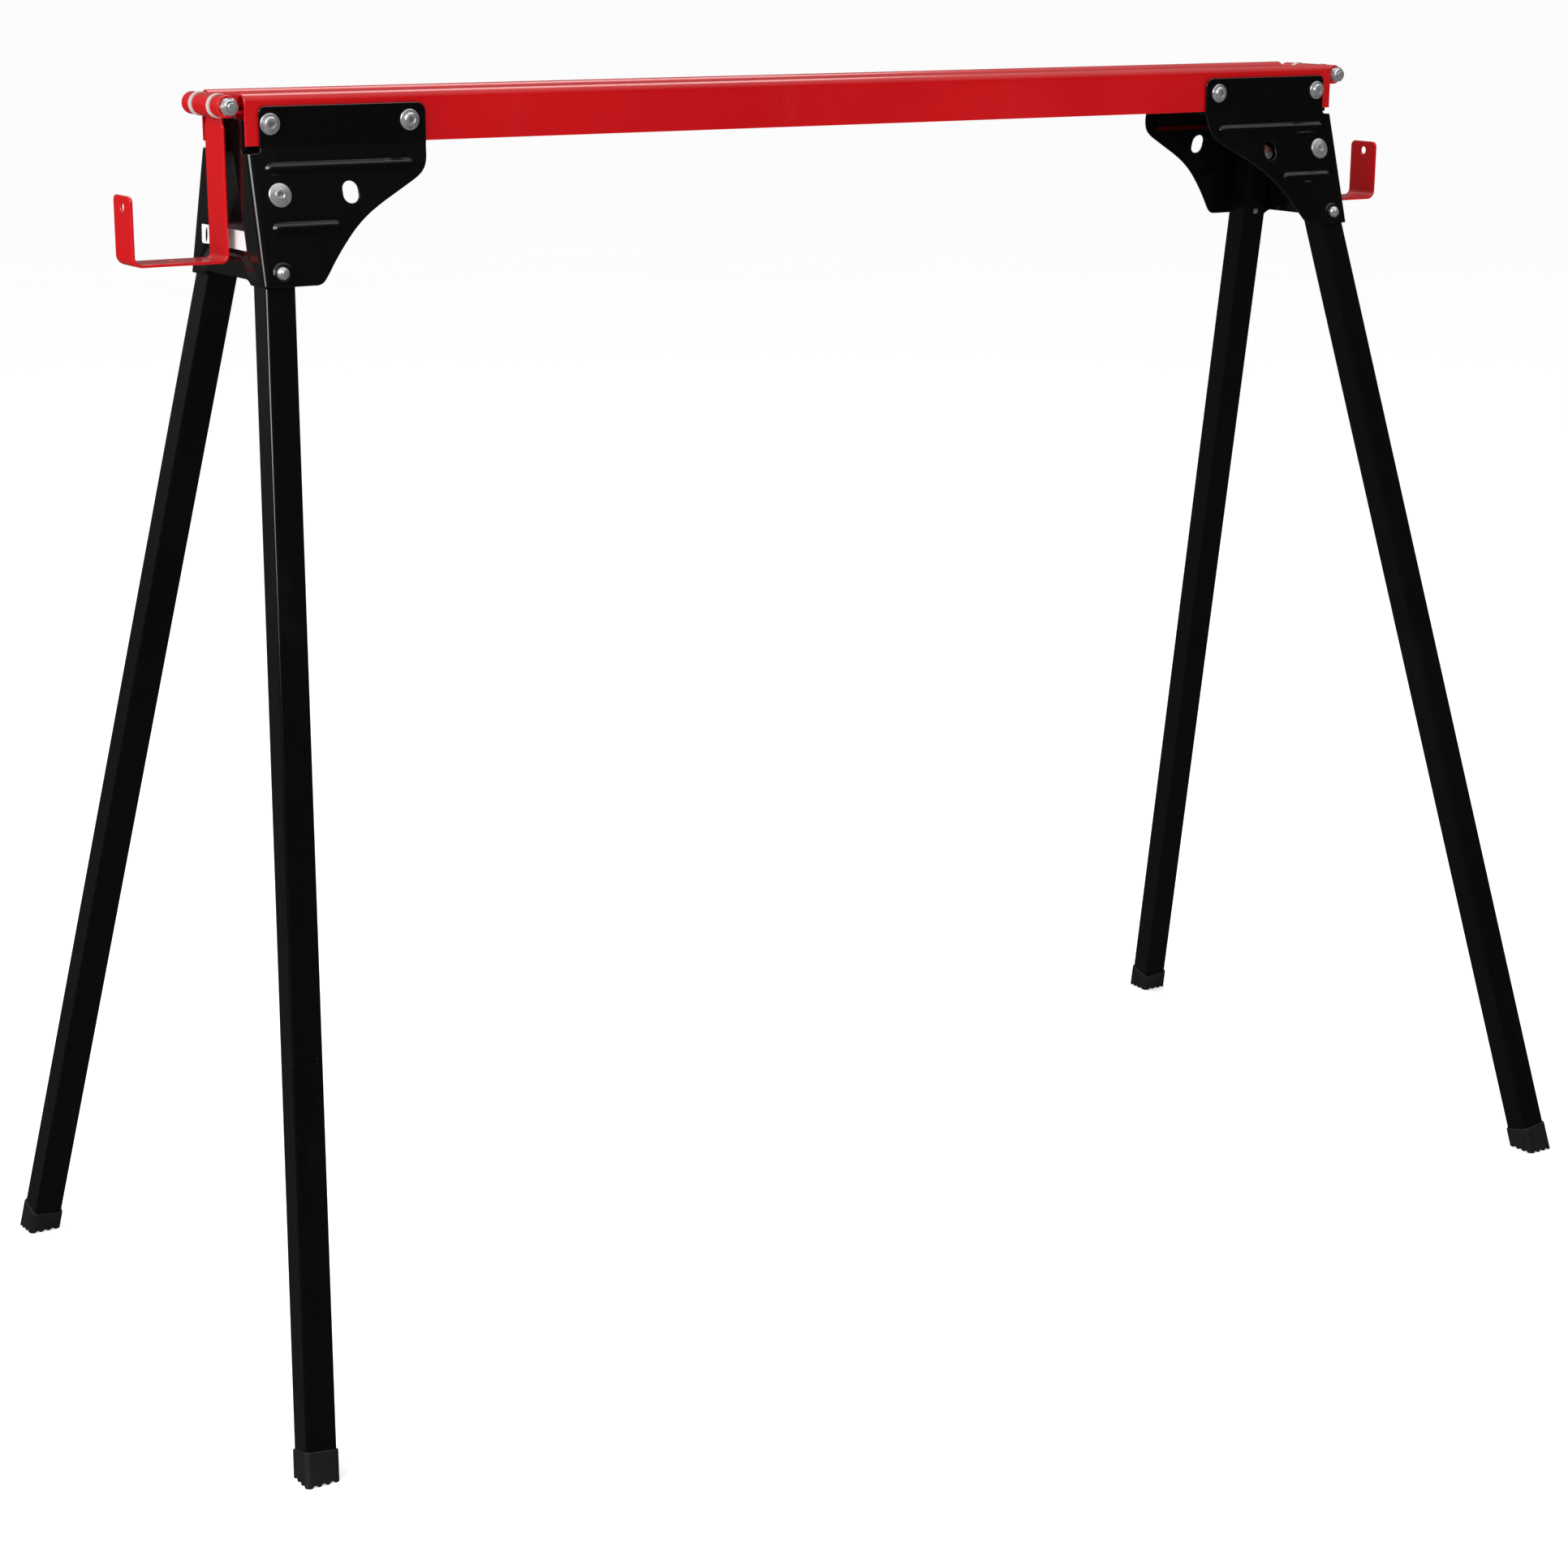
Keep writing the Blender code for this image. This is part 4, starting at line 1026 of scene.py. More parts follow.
def tube_tree():
    """A square tube down its own length, with a bolt hole through it and a hole for a button in two walls."""
    tree, given, out = geometry_tree("Square Tube", (
        ("Finish", "Material", None), ("Width", "Float", 0.02), ("Wall", "Float", 0.0014),
        ("Corner Radius", "Float", 0.0022), ("Top", "Float", -0.012), ("Bottom", "Float", 0.769),
        ("Bolt Hole", "Float", 0.00325), ("Button Hole", "Float", 0.0043), ("Nub Hole", "Float", 0.0024),
        ("Button Place", "Float", 0.0479),
    ))
    half = maths(tree, "MULTIPLY", given.outputs["Width"], -0.5)

    def bar(width, radius, spare):
        section = node(tree, "GeometryNodeCurvePrimitiveQuadrilateral", {"Width": width, "Height": width})
        soft = node(
            tree, "GeometryNodeFilletCurve", {
                "Curve": section.outputs[0], "Radius": radius, "Count": 7
            }, mode="POLY",
        )
        start = node(
            tree, "ShaderNodeCombineXYZ",
            {"Y": half, "Z": maths(tree, "SUBTRACT", given.outputs["Top"], spare)}
        )
        end = node(
            tree, "ShaderNodeCombineXYZ", {"Y": half, "Z": maths(tree, "ADD", given.outputs["Bottom"], spare)}
        )
        line = node(
            tree, "GeometryNodeCurvePrimitiveLine", {"Start": start.outputs[0], "End": end.outputs[0]}
        )
        inputs = {"Curve": line.outputs[0], "Profile Curve": soft.outputs[0], "Fill Caps": True}
        return node(tree, "GeometryNodeCurveToMesh", inputs).outputs[0]

    def hole(radius, depth, centre, place):
        pin = node(tree, "GeometryNodeMeshCylinder", {"Vertices": 32, "Radius": radius, "Depth": depth})
        at = node(tree, "ShaderNodeCombineXYZ", {"Y": centre, "Z": place})
        inputs = {"Geometry": pin.outputs[0], "Translation": at.outputs[0], "Rotation": (math.pi / 2, 0, 0)}
        return node(tree, "GeometryNodeTransform", inputs).outputs[0]

    width, wall = given.outputs["Width"], given.outputs["Wall"]
    hollow = maths(tree, "SUBTRACT", width, maths(tree, "MULTIPLY", wall, 2.0))
    through = maths(tree, "MULTIPLY", width, 1.3)
    short = maths(tree, "MULTIPLY", wall, 4.0)
    inner_radius = maths(tree, "SUBTRACT", given.outputs["Corner Radius"], wall)
    tools = [
        bar(hollow, inner_radius, 0.005),
        hole(given.outputs["Bolt Hole"], through, half, 0.0),
        hole(given.outputs["Button Hole"], short, 0.0, given.outputs["Button Place"]),
        hole(
            given.outputs["Nub Hole"], short, maths(tree, "MULTIPLY", width, -1.0),
            given.outputs["Button Place"]
        ),
    ]
    cutting = tree.nodes.new("GeometryNodeMeshBoolean")
    cutting.operation = "DIFFERENCE"
    cutting.solver = "EXACT"
    tree.links.new(bar(width, given.outputs["Corner Radius"], 0.0), cutting.inputs["Mesh 1"])
    for tool in tools:
        tree.links.new(tool, cutting.inputs["Mesh 2"])
    return end_tree(tree, given, out, cutting.outputs["Mesh"])


def tread_tree():
    """Crossed rows of round groove cutters for the underside of a foot."""
    tree, given, out = geometry_tree("Tread Grooves", (
        (
            "Finish", "Material", None
        ), ("Pitch", "Float", 0.0056), ("Radius", "Float", 0.002), ("Length", "Float", 0.06),
        ("Count", "Int", 3), ("Depth Offset", "Float", -0.0007),
    ))
    cutter = node(tree, "GeometryNodeMeshCylinder", {
        "Vertices": 24, "Radius": given.outputs["Radius"], "Depth": given.outputs["Length"],
    })
    pitch, count = given.outputs["Pitch"], given.outputs["Count"]
    start = maths(tree, "MULTIPLY", pitch, maths(tree, "MULTIPLY", maths(tree, "SUBTRACT", count, 1.0), -0.5))
    rows = tree.nodes.new("GeometryNodeJoinGeometry")
    for axis, turn in (("Y", (0, math.pi / 2, 0)), ("X", (math.pi / 2, 0, 0))):
        first = node(tree, "ShaderNodeCombineXYZ", {axis: start, "Z": given.outputs["Depth Offset"]})
        step = node(tree, "ShaderNodeCombineXYZ", {axis: pitch})
        line = node(tree, "GeometryNodeMeshLine", {
            "Count": count, "Start Location": first.outputs[0], "Offset": step.outputs[0],
        })
        placed = node(tree, "GeometryNodeInstanceOnPoints", {
            "Points": line.outputs[0], "Instance": cutter.outputs[0], "Rotation": turn,
        })
        tree.links.new(placed.outputs[0], rows.inputs[0])
    return end_tree(tree, given, out, rows.outputs[0])


TREES = {}


def run_tree(name, host_mesh, **values):
    """Runs a geometry node tree on a mesh and returns the result as a plain mesh."""
    makers = {"Copies on Points": copies_tree, "Square Tube": tube_tree, "Tread Grooves": tread_tree}
    if name not in TREES:
        TREES[name] = makers[name]()
    tree = TREES[name]
    host = bpy.data.objects.new("host", host_mesh)
    modifier = host.modifiers.new(name, "NODES")
    modifier.node_group = tree
    for item in tree.interface.items_tree:
        key = item.name.replace(" ", "_")
        if item.in_out == "INPUT" and key in values:
            modifier[item.identifier] = values[key]
    bpy.context.scene.collection.objects.link(host)
    bpy.context.view_layer.update()
    mesh = bpy.data.meshes.new_from_object(host.evaluated_get(bpy.context.evaluated_depsgraph_get()))
    host.modifiers.remove(modifier)
    bpy.data.objects.remove(host, do_unlink=True)
    if not mesh.polygons:
        raise RuntimeError(f"{name} made no faces")
    return mesh


def copies(part, places, slot, spin=0.0, seed=1):
    """One mesh, in metres, of a part's copies at the given places (matrices in millimetres)."""
    points = bpy.data.meshes.new("points")
    points.from_pydata([tuple(m.translation * MM) for m in places], [], [])
    turn = points.attributes.new("turn", "QUATERNION", "POINT")
    for i, m in enumerate(places):
        turn.data[i].value = tuple(m.to_quaternion())
    part.transform(Matrix.Scale(MM, 4))
    source = bpy.data.objects.new("part", part)
    bpy.context.scene.collection.objects.link(source)
    mesh = run_tree("Copies on Points", points, Part=source, Finish=finish(slot), Most_Spin=spin, Seed=seed)
    bpy.data.objects.remove(source, do_unlink=True)
    bpy.data.meshes.remove(part)
    return mesh


# ---- beam ----


def beam_path():
    """The beam's section in (y, z), front bottom edge to rear bottom edge."""
    t = BEAM_T / 2
    ridge, foot = RIDGE_R - t, VALLEY_R + t
    ridge_y = BEAM_W - RIDGE_R
    ridge_points = arc(-ridge_y, HEIGHT - RIDGE_R, ridge, 180, 0, 28)
    foot_z = HEIGHT - VALLEY - t + foot
    foot_points = arc(-ridge_y + ridge + foot, foot_z, foot, 180, 270, 9)[1:]
    half = [(-(BEAM_W - t), HEIGHT - BEAM_H), *ridge_points, *foot_points]
    return Path(half + [(-y, z) for y, z in reversed(half)])


def beam_mesh(rim):
    path = beam_path()
    total = path.lengths[-1]

    def surface(u, v):
        p, n = path.at(u)
        return Vector((v, p.x, p.y)), Vector((0, n.x, n.y))

    outline = [(0, -BEAM_HALF), (total, -BEAM_HALF), (total, BEAM_HALF), (0, BEAM_HALF)]
    up = BEAM_H - BEAM_BOLT_Z
    holes = [
        circle(
            u, end * (BEAM_HALF - x), HOLE_R, 28
        ) for u in (up, total - up) for end in (-1, 1) for x in BEAM_BOLTS
    ]
    return sheet(
        "beam", surface, outline, holes, path.creases(-BEAM_HALF - 1, BEAM_HALF + 1), BEAM_T, rim=rim
    )


# ---- brackets ----


class Bracket:
    """The flat pattern of an end bracket and how it bends: two splayed plates joined by an end wall."""

    def __init__(self, bead_height, panel_depth):
        mid = BEAM_W + PLATE_GAP + PLATE_T / 2
        bend = HEIGHT - BEND_Z
        reach = BEND_R * math.tan(SPLAY / 2)
        angles = [SPLAY * k / 8 for k in range(9)]
        curve = [(mid + BEND_R * (1 - math.cos(a)), bend + reach - BEND_R * math.sin(a)) for a in angles]
        down = PLATE_BOTTOM + 5
        end = [(mid + down * math.sin(SPLAY), bend - down * math.cos(SPLAY))]
        self.path = Path([(mid, bend + FLANGE_TOP + 1)] + curve + end)
        self.zero = self.path.lengths[1] + reach
        self.bead_height, self.panel_depth = bead_height, panel_depth
        slope = Vector((PANEL[2][0] - PANEL[1][0], PANEL[2][1] - PANEL[1][1])).normalized()
        self.panel_side = Vector((slope.y, -slope.x))
        self.button = (PIVOT[0] - BUTTON_Q * math.sin(LEG_SPLAY), PIVOT[1] + BUTTON_Q * math.cos(LEG_SPLAY))
        self.ring = (self.button[0] + 0.7, self.button[1] + 0.3)

    def section(self, s):
        return self.path.at(s + self.zero)

    def wall_x(self, s):
        return WALL_X - WALL_LEAN * s

    def wall_half(self, s):
        return self.section(s)[0].x - FOLD_R

    def from_plate(self, x, s, side):
        a = x - self.wall_x(s)
        return (a, s) if side < 0 else (-2 * WALL_PARAM - a, s)

    def from_wall(self, y, below):
        """The flat pattern's point for a point of the end wall, y across and a depth below the crests."""
        s = (below - BEND_Z) / (math.cos(SPLAY) if below > BEND_Z else 1.0)
        return (-WALL_PARAM * (1 + y / self.wall_half(s)), s)

    def surface(self, a, s):
        side = -1
        if a < -WALL_PARAM:
            side, a = 1, -2 * WALL_PARAM - a
        p, n = self.section(s)
        x0 = self.wall_x(s)
        half, z = p.x, p.y
        if a >= FOLD_R:
            point, normal = Vector((a + x0, half, z)), Vector((0, n.x, n.y))
        elif a > 0:
            turn = (1 - a / FOLD_R) * math.pi / 2
            point = Vector((x0 + FOLD_R * (1 - math.sin(turn)), half - FOLD_R * (1 - math.cos(turn)), z))
            normal = Vector((-math.sin(turn), n.x * math.cos(turn), n.y * math.cos(turn)))
        else:
            across = (half - FOLD_R) * (1 + a / WALL_PARAM)
            fold = WALL_TOP_Y - 2.0
            if s < NOTCH_S - 1.0 and across > fold:
                past = across - fold
                turn = min(past / 3.0, 1.0) * math.pi / 2
                inward = 2.0 * (1 - math.cos(turn)) + max(past - 3.0, 0.0)
                point = Vector((x0 + inward, fold + 2.0 * math.sin(turn), z))
                normal = Vector((-math.cos(turn), math.sin(turn), 0))
            else:
                point, normal = Vector((x0, across, z)), Vector((-1, 0, 0))
        point.x -= BEAM_HALF
        point.y *= side
        normal.y *= side
        return point, normal

    def lift(self, a, s):
        """How far the beads, the button's ring and the wall's panel are pressed out of the sheet."""
        if -2 * WALL_PARAM < a < 0:
            y = abs((a / WALL_PARAM + 1) * self.wall_half(s))
            z = BEND_Z + s * (math.cos(SPLAY) if s > 0 else 1.0)
            sides = (
                z - PANEL[0][1], PANEL[2][1] - z,
                (Vector((PANEL[1][0], PANEL[1][1])) - Vector((y, z))).dot(self.panel_side),
            )
            depth = -math.log(
                sum(math.exp(-min(d, 30.0) * 0.9) for d in sides)
            ) / 0.9 if min(sides) > -4 else -1.0
            return -self.panel_depth * smooth(depth / 2.2)
        if a < -2 * WALL_PARAM:
            a = -2 * WALL_PARAM - a
        x = a + self.wall_x(s)
        found = 0.0
        for x0, x1, level, half in BEADS:
            near = min(max(x, x0 + half), x1 - half)
            share = min(max((half - math.hypot(x - near, s - level)) / half * 1.2, 0.0), 1.0)
            found = max(found, self.bead_height * math.sin(share * math.pi / 2))
        ring_depth = RING_R - math.hypot(x - self.ring[0], s - self.ring[1])
        return max(found, RING_H * smooth(ring_depth / 1.2))

    def guides(self):
        """Closed lines on which the pressed shapes turn."""
        found = []
        for side in (-1, 1):
            for x0, x1, level, half in BEADS:
                for inset in (-0.4, 0.0, 0.5, 1.0, 1.5, 2.1, 2.7, 3.2, 3.6):
                    bar = stadium(x0 + inset, x1 - inset, level, half - inset)
                    found.append([self.from_plate(x, v, side) for x, v in bar])
            for r in (7.4, 7.1, 6.8, 6.5, 6.2, 5.9):
                found.append([self.from_plate(x, v, side) for x, v in circle(*self.ring, r, 40)])
        for inset in (-0.5, 0.0, 0.4, 0.8, 1.2, 1.6, 2.0, 2.4):
            found.append([self.from_wall(y, z) for y, z in moved_in(rounded(PANEL), inset)])
        return found

    def holes(self):
        found = []
        for side in (-1, 1):
            x, s, r, tall = SLOT
            loops = [circle(*PIVOT, HOLE_R, 28), circle(*self.button, BUTTON_R + 0.45, 36)]
            loops.append([(x - q, s + p) for p, q in stadium(-tall / 2, tall / 2, 0, r)])
            loops += [circle(bolt, BEAM_BOLT_Z - BEND_Z, HOLE_R, 28) for bolt in BEAM_BOLTS]
            found += [[self.from_plate(px, ps, side) for px, ps in loop] for loop in loops]
        return found

    def outline(self):
        """The flat pattern: front half, rear half mirrored, then the end wall's arched lower edge."""
        sweep = eased([
            (
                34.0, PLATE_BOTTOM
            ), (36.6, 84.6), (39.0, 82.9), (42.2, 79.0), (47.8, 71.3), (55.5, 61.8), (64.5, 52.0),
            (74.0, 43.9), (84.0, 37.3), (94.0, 31.6), (
                104.0, 26.0
            ), (111.0, 21.9), (115.6, 18.2), (118.4, 13.9),
            (119.8, 9.0), (120.4, 4.0), (121.0, 0.0),
        ])
        near, far = FLANGE_X
        flange = [
            *arc(far - 6.0, -FLANGE_TOP + 6.0, 6.0, 0, -90, 12), *arc(
                near + 4.0, -FLANGE_TOP + 4.0, 4.0, -90, -180, 10
            ),
            *arc(near - 1.5, NOTCH_S - 1.5, 1.5, 0, 90, 5),
        ]
        plate = [self.from_plate(x, s, -1) for x, s in [(20.0, PLATE_BOTTOM), *sweep, *flange]]
        slit, free = (
            -WALL_PARAM * (1 - y / self.wall_half(0)) for y in (
                WALL_TOP_Y - 3.0, WALL_TOP_Y + RETURN_DEPTH - 1.0
            )
        )
        top = WALL_TOP - BEND_Z
        upper = [
            (FOLD_R, NOTCH_S + 0.3), (0.0, NOTCH_S + 0.6), (slit, NOTCH_S + 0.6), (slit, NOTCH_S - 1.4),
            (free, NOTCH_S - 1.4), *arc(free - 2.0, top + 2.0, 2.0, 0, -90, 5),
        ]
        half = [(0.0, PLATE_BOTTOM), (FOLD_R, PLATE_BOTTOM), *plate, *upper]
        arch = [self.from_wall(y, below) for y, below in eased(WALL_ARCH, 4)]
        mirrored_half, mirrored_arch = (
            [(-2 * WALL_PARAM - a, s) for a, s in chain] for chain in (half, arch)
        )
        return half + mirrored_half[::-1] + mirrored_arch + arch[::-1]

    def creases(self):
        low, high = -FLANGE_TOP - 5, PLATE_BOTTOM + 5
        left, right = -2 * WALL_PARAM - 130, 130
        bends = [u - self.zero for u in self.path.lengths[1:-1]]
        bends += [bends[0] - 0.7, bends[-1] + 0.7]
        found = [[(left, s), (right, s)] for s in sorted(bends)]
        folds = [FOLD_R * k / 8 for k in range(9)] + [-0.7, FOLD_R + 0.7]
        found += [[(a, low), (a, high)] for a in folds + [-2 * WALL_PARAM - a for a in folds]]
        for k in range(-1, 8):
            a = -WALL_PARAM * (1 - (WALL_TOP_Y - 2.0 + 0.5 * k) / self.wall_half(0))
            found += [[(c, WALL_TOP - BEND_Z - 3), (c, NOTCH_S - 1.4)] for c in (a, -2 * WALL_PARAM - a)]
        for side in (-1, 1):
            for x0, x1, level, half in BEADS:
                found.append([self.from_plate(x, level, side) for x in (x0 + half, x1 - half)])
        return found

    def mesh(self, rim):
        return sheet(
            "bracket", self.surface, self.outline(), self.holes(), self.creases(), PLATE_T, self.lift,
            self.guides(),
            rim=rim, hold=0.6,
        )


def smooth(t):
    t = min(max(t, 0.0), 1.0)
    return t * t * (3 - 2 * t)


# ---- fasteners ----


def socket_rings(top, depth, af, r):
    """From a rim of radius r down into a hexagon socket, to a pole at its drilled bottom."""
    return [
        ring(r, top), hexagon(af + 0.35, top), hexagon(af, top - 0.2), hexagon(af, top - depth),
        ring(af * 0.34, top - depth - 0.1), ring(0, top - depth - 0.5),
    ]


def bolt_mesh(profile, tail, thread_end, top, depth, af, pitch, shank=BOLT_R):
    """A headed bolt, Z along it and outwards. profile runs from under the head to the socket's rim."""
    rings = [ring(0, tail), ring(shank - 0.75, tail), ring(shank - 0.42, tail + 0.35)]
    rings += threaded(shank, tail + 0.4, thread_end, pitch)
    rings += [ring(shank, thread_end + 0.1), ring(shank, SEAT)]
    rings += [ring(r, z) for r, z in profile[:-1]]
    return stack("bolt", rings + socket_rings(top, depth, af, profile[-1][0]))


FLANGED_HEAD = [
    (6.3, SEAT), (6.55, 0.32), (6.6, 0.62), (6.5, 0.95), (6.2, 1.28), (5.75, 1.42), (5.3, 1.32), (4.95, 1.12),
    (4.72, 1.12), (4.6, 1.3), (4.55, 2.0), (4.42, 2.6), (4.1, 3.12), (3.6, 3.5), (3.1, 3.68), (2.75, 3.7),
]
LOW_HEAD = [
    (
        7.2, SEAT
    ), (7.42, 0.3), (7.5, 0.6), (7.44, 0.9), (7.2, 1.16), (6.7, 1.4), (6.2, 1.56), (5.0, 1.86), (3.9, 2.1),
    (3.6, 2.16), (3.5, 2.3), (3.2, 2.4), (2.7, 2.4),
]


def nut_mesh(low, high, collar=1.3):
    """A lock nut: a chamfered hexagon, a round collar over its insert, and a chamfered bore."""
    corner = NUT_AF / math.sqrt(3)
    flank = high - collar
    bore = BOLT_R + 0.12
    rings = [
        hexagon(NUT_AF, low, NUT_AF / 2 * 0.95), hexagon(NUT_AF, low + 0.12, NUT_AF / 2),
        hexagon(NUT_AF, low + 0.55, corner - 0.02), hexagon(NUT_AF, flank - 0.7, corner - 0.02),
        hexagon(NUT_AF, flank - 0.25, NUT_AF / 2 + 0.12), hexagon(NUT_AF, flank - 0.05, NUT_AF / 2 - 0.2),
        ring(4.45, flank), ring(4.42, flank + collar * 0.45), ring(4.2, high - 0.28), ring(3.85, high - 0.05),
        ring(3.55, high), ring(
            bore + 0.2, high - 0.1
        ), ring(bore, high - 0.4), ring(bore, low + 0.35), ring(bore + 0.35, low),
    ]
    return stack("nut", rings, closed=True)


def washer_mesh(outer, inner, low, high):
    soft = 0.18
    profile = [
        (inner, low + soft), (inner + soft, low), (outer - soft, low), (outer, low + soft), (
            outer, high - soft
        ),
        (outer - soft, high), (inner + soft, high), (inner, high - soft),
    ]
    return stack("washer", [ring(r, z) for r, z in profile], closed=True)


def beam_bolt_places():
    outer = BEAM_W + PLATE_GAP + PLATE_T
    places, labels = [], []
    for side, row in ROWS:
        for end, where in ENDS:
            for number, x in enumerate(BEAM_BOLTS, 1):
                at = (end * (BEAM_HALF - x), side * outer, HEIGHT - BEAM_BOLT_Z)
                places.append(frame_of(at, (1, 0, 0), (0, 0, -side), (0, side, 0)))
                labels.append(f"{row}_{where}_{number}")
    return places, labels


# ---- legs ----


def leg_frame(end, side):
    """Origin on the pivot axis at the tube's outer face. Z runs down the leg, Y out through the plate."""
    inwards = Vector((-end, 0, 0))
    down = Vector((0, side * math.sin(SPLAY), -math.cos(SPLAY)))
    outwards = Vector((0, side * math.cos(SPLAY), math.sin(SPLAY)))
    half, z = Bracket(1, 1).section(PIVOT[1])[0]
    point = Vector((end * (BEAM_HALF - PIVOT[0]), side * half, z)) - outwards * (PLATE_T / 2 + LEG_GAP)
    along = down * math.cos(LEG_SPLAY) - inwards * math.sin(LEG_SPLAY)
    return frame_of(point, outwards.cross(along), outwards, along)


def across(place, q, high=0.0):
    """A matrix that lays Z along the leg frame's Y at a distance q down the leg."""
    return place @ frame_of((0, high, q), (0, 0, 1), (1, 0, 0), (0, 1, 0))


def legs():
    """Each leg's frame, label and body."""
    for side, row in ROWS:
        for end, where in ENDS:
            yield leg_frame(end, side), f"{row}_{where}"


def square(size, r, z, steps=6):
    h, middle = size / 2, -TUBE / 2
    corners = [(-h, middle - h, r), (h, middle - h, r), (h, middle + h, r), (-h, middle + h, r)]
    return [(x, y, z) for x, y in rounded(corners, steps)]


def tread_cutters(grooves):
    """The grooves one by one, each turned about itself and set a hair off the last: no facets coincide."""
    for number, groove in enumerate(separate(grooves), 1):
        points = [v.co for v in groove.vertices]
        centre = sum(points, Vector()) / len(points)
        along = max("XY", key=lambda axis: max(getattr(p - centre, axis.lower()) for p in points))
        spin = Matrix.Rotation(math.radians(TREAD_TURN * number), 4, along)
        groove.transform(
            Matrix.Translation(centre + Vector((0, 0, TREAD_SHIFT * number)))
            @ spin @ Matrix.Translation(-centre)
        )
        yield groove


def cap_mesh(place, grooves):
    """A square cap over a tube's end: chamfered rim, parting line, level underside and a crossed tread."""
    low = CAP_TOP + 40
    line = CAP_TOP + 13.2
    levels = [
        (CAP - 1.0, 2.9, CAP_TOP), (CAP - 0.5, 3.15, CAP_TOP + 0.12), (CAP - 0.15, 3.3, CAP_TOP + 0.4),
        (CAP, 3.4, CAP_TOP + 0.85), (CAP, 3.4, line - 0.35), (
            CAP - 0.22, 3.3, line - 0.12
        ), (CAP - 0.22, 3.3, line + 0.12),
        (CAP, 3.4, line + 0.35), (CAP, 3.4, low),
    ]
    rings = [square(*level) for level in levels]
    centre = [(0.0, -TUBE / 2, CAP_TOP)], [(0.0, -TUBE / 2, low)]
    body = stack("cap", [centre[0], *rings, centre[1]])
    pocket = [square(TUBE + 2 * CAP_GAP, TUBE_R + CAP_GAP, z) for z in (CAP_TOP - 5, LEG_END + 0.3)]
    hollow = stack("pocket", [[(0, -TUBE / 2, CAP_TOP - 5)], *pocket, [(0, -TUBE / 2, LEG_END + 0.3)]])
    back = place.inverted()
    foot = place @ Vector((0, -TUBE / 2, place.translation.z / -place.col[2].z))
    below = [[(x, y, z) for x, y in ((-60, -60), (60, -60), (60, 60), (-60, 60))] for z in (-60, 0)]
    under = stack(
        "floor", [[(0, 0, -60)], *below, [(0, 0, 0)]], back @ Matrix.Translation((foot.x, foot.y, 0))
    )
    cutters = list(tread_cutters(grooves))
    for cutter in cutters:
        cutter.transform(back @ Matrix.Translation((foot.x, foot.y, 0)))
    mesh = boolean(boolean(body, [hollow, under]), cutters)
    return mark_edges(evened(soft_shading(mesh, 40), 0.28), 18, 50)


def button_mesh():
    """The snap button: a flanged pin with a domed end and a small flat nub."""
    dome = [
        (BUTTON_R * math.cos(math.radians(a)), 4.1 + 3.0 * math.sin(math.radians(a))) for a in range(0, 66, 9)
    ]
    profile = [(0, -2.8), (5.2, -2.8), (5.4, -2.6), (5.4, -1.8), (5.2, -1.6), (BUTTON_R, -1.6), *dome]
    profile += [(1.42, 7.12), (1.36, 7.2), (1.3, 7.55), (1.12, 7.7), (0, 7.7)]
    return stack("button", [ring(r, z) for r, z in profile])


def spring_mesh():
    """A V-shaped leaf: one end behind the button, the other on the far wall with its nub through the wall."""
    path = Path([
        (-5.0, -3.3), (5.5, -3.3), (9.0, -3.9), (46.0, -8.2), (48.2, -9.2), (
            48.9, -10.8
        ), (48.0, -12.3), (46.0, -13.0),
        (10.0, -17.7), (7.0, -18.2), (-5.0, -18.2),
    ])

    def surface(u, v):
        p, n = path.at(u)
        return Vector((v, p.y, p.x + BUTTON_Q)), Vector((0, n.y, n.x))

    total = path.lengths[-1]
    outline = rounded([(0, -4, 1.5), (total, -4, 1.5), (total, 4, 1.5), (0, 4, 1.5)])
    leaf = sheet("spring", surface, outline, [], path.creases(-5, 5), 0.5, rim=0.2, hold=0.3)
    nub = [
        (0, -18.3), (1.95, -18.3), (1.95, -20.2), (1.8, -20.5), (1.3, -20.68), (0.9, -20.7), (0.8, -20.5),
        (0, -20.4)
    ]
    pin = stack("nub", [ring(r, z) for r, z in nub], across(Matrix.Identity(4), BUTTON_Q))
    bm = bmesh.new()
    for mesh in (leaf, pin):
        bm.from_mesh(mesh)
    joined = bpy.data.meshes.new("spring")
    bm.to_mesh(joined)
    bm.free()
    return joined


# ---- side hooks ----


def hinge_place(end):
    return Matrix.Translation((end * (BEAM_HALF + HINGE[0]), 0, HEIGHT - HINGE[1]))


def strip_surface(path):
    """The surface of a strap whose section is a path, seen from the hinge axis."""
    def surface(u, v):
        p, n = path.at(u)
        return Vector((-p.x, v, p.y)), Vector((-n.x, 0, n.y))
    return surface


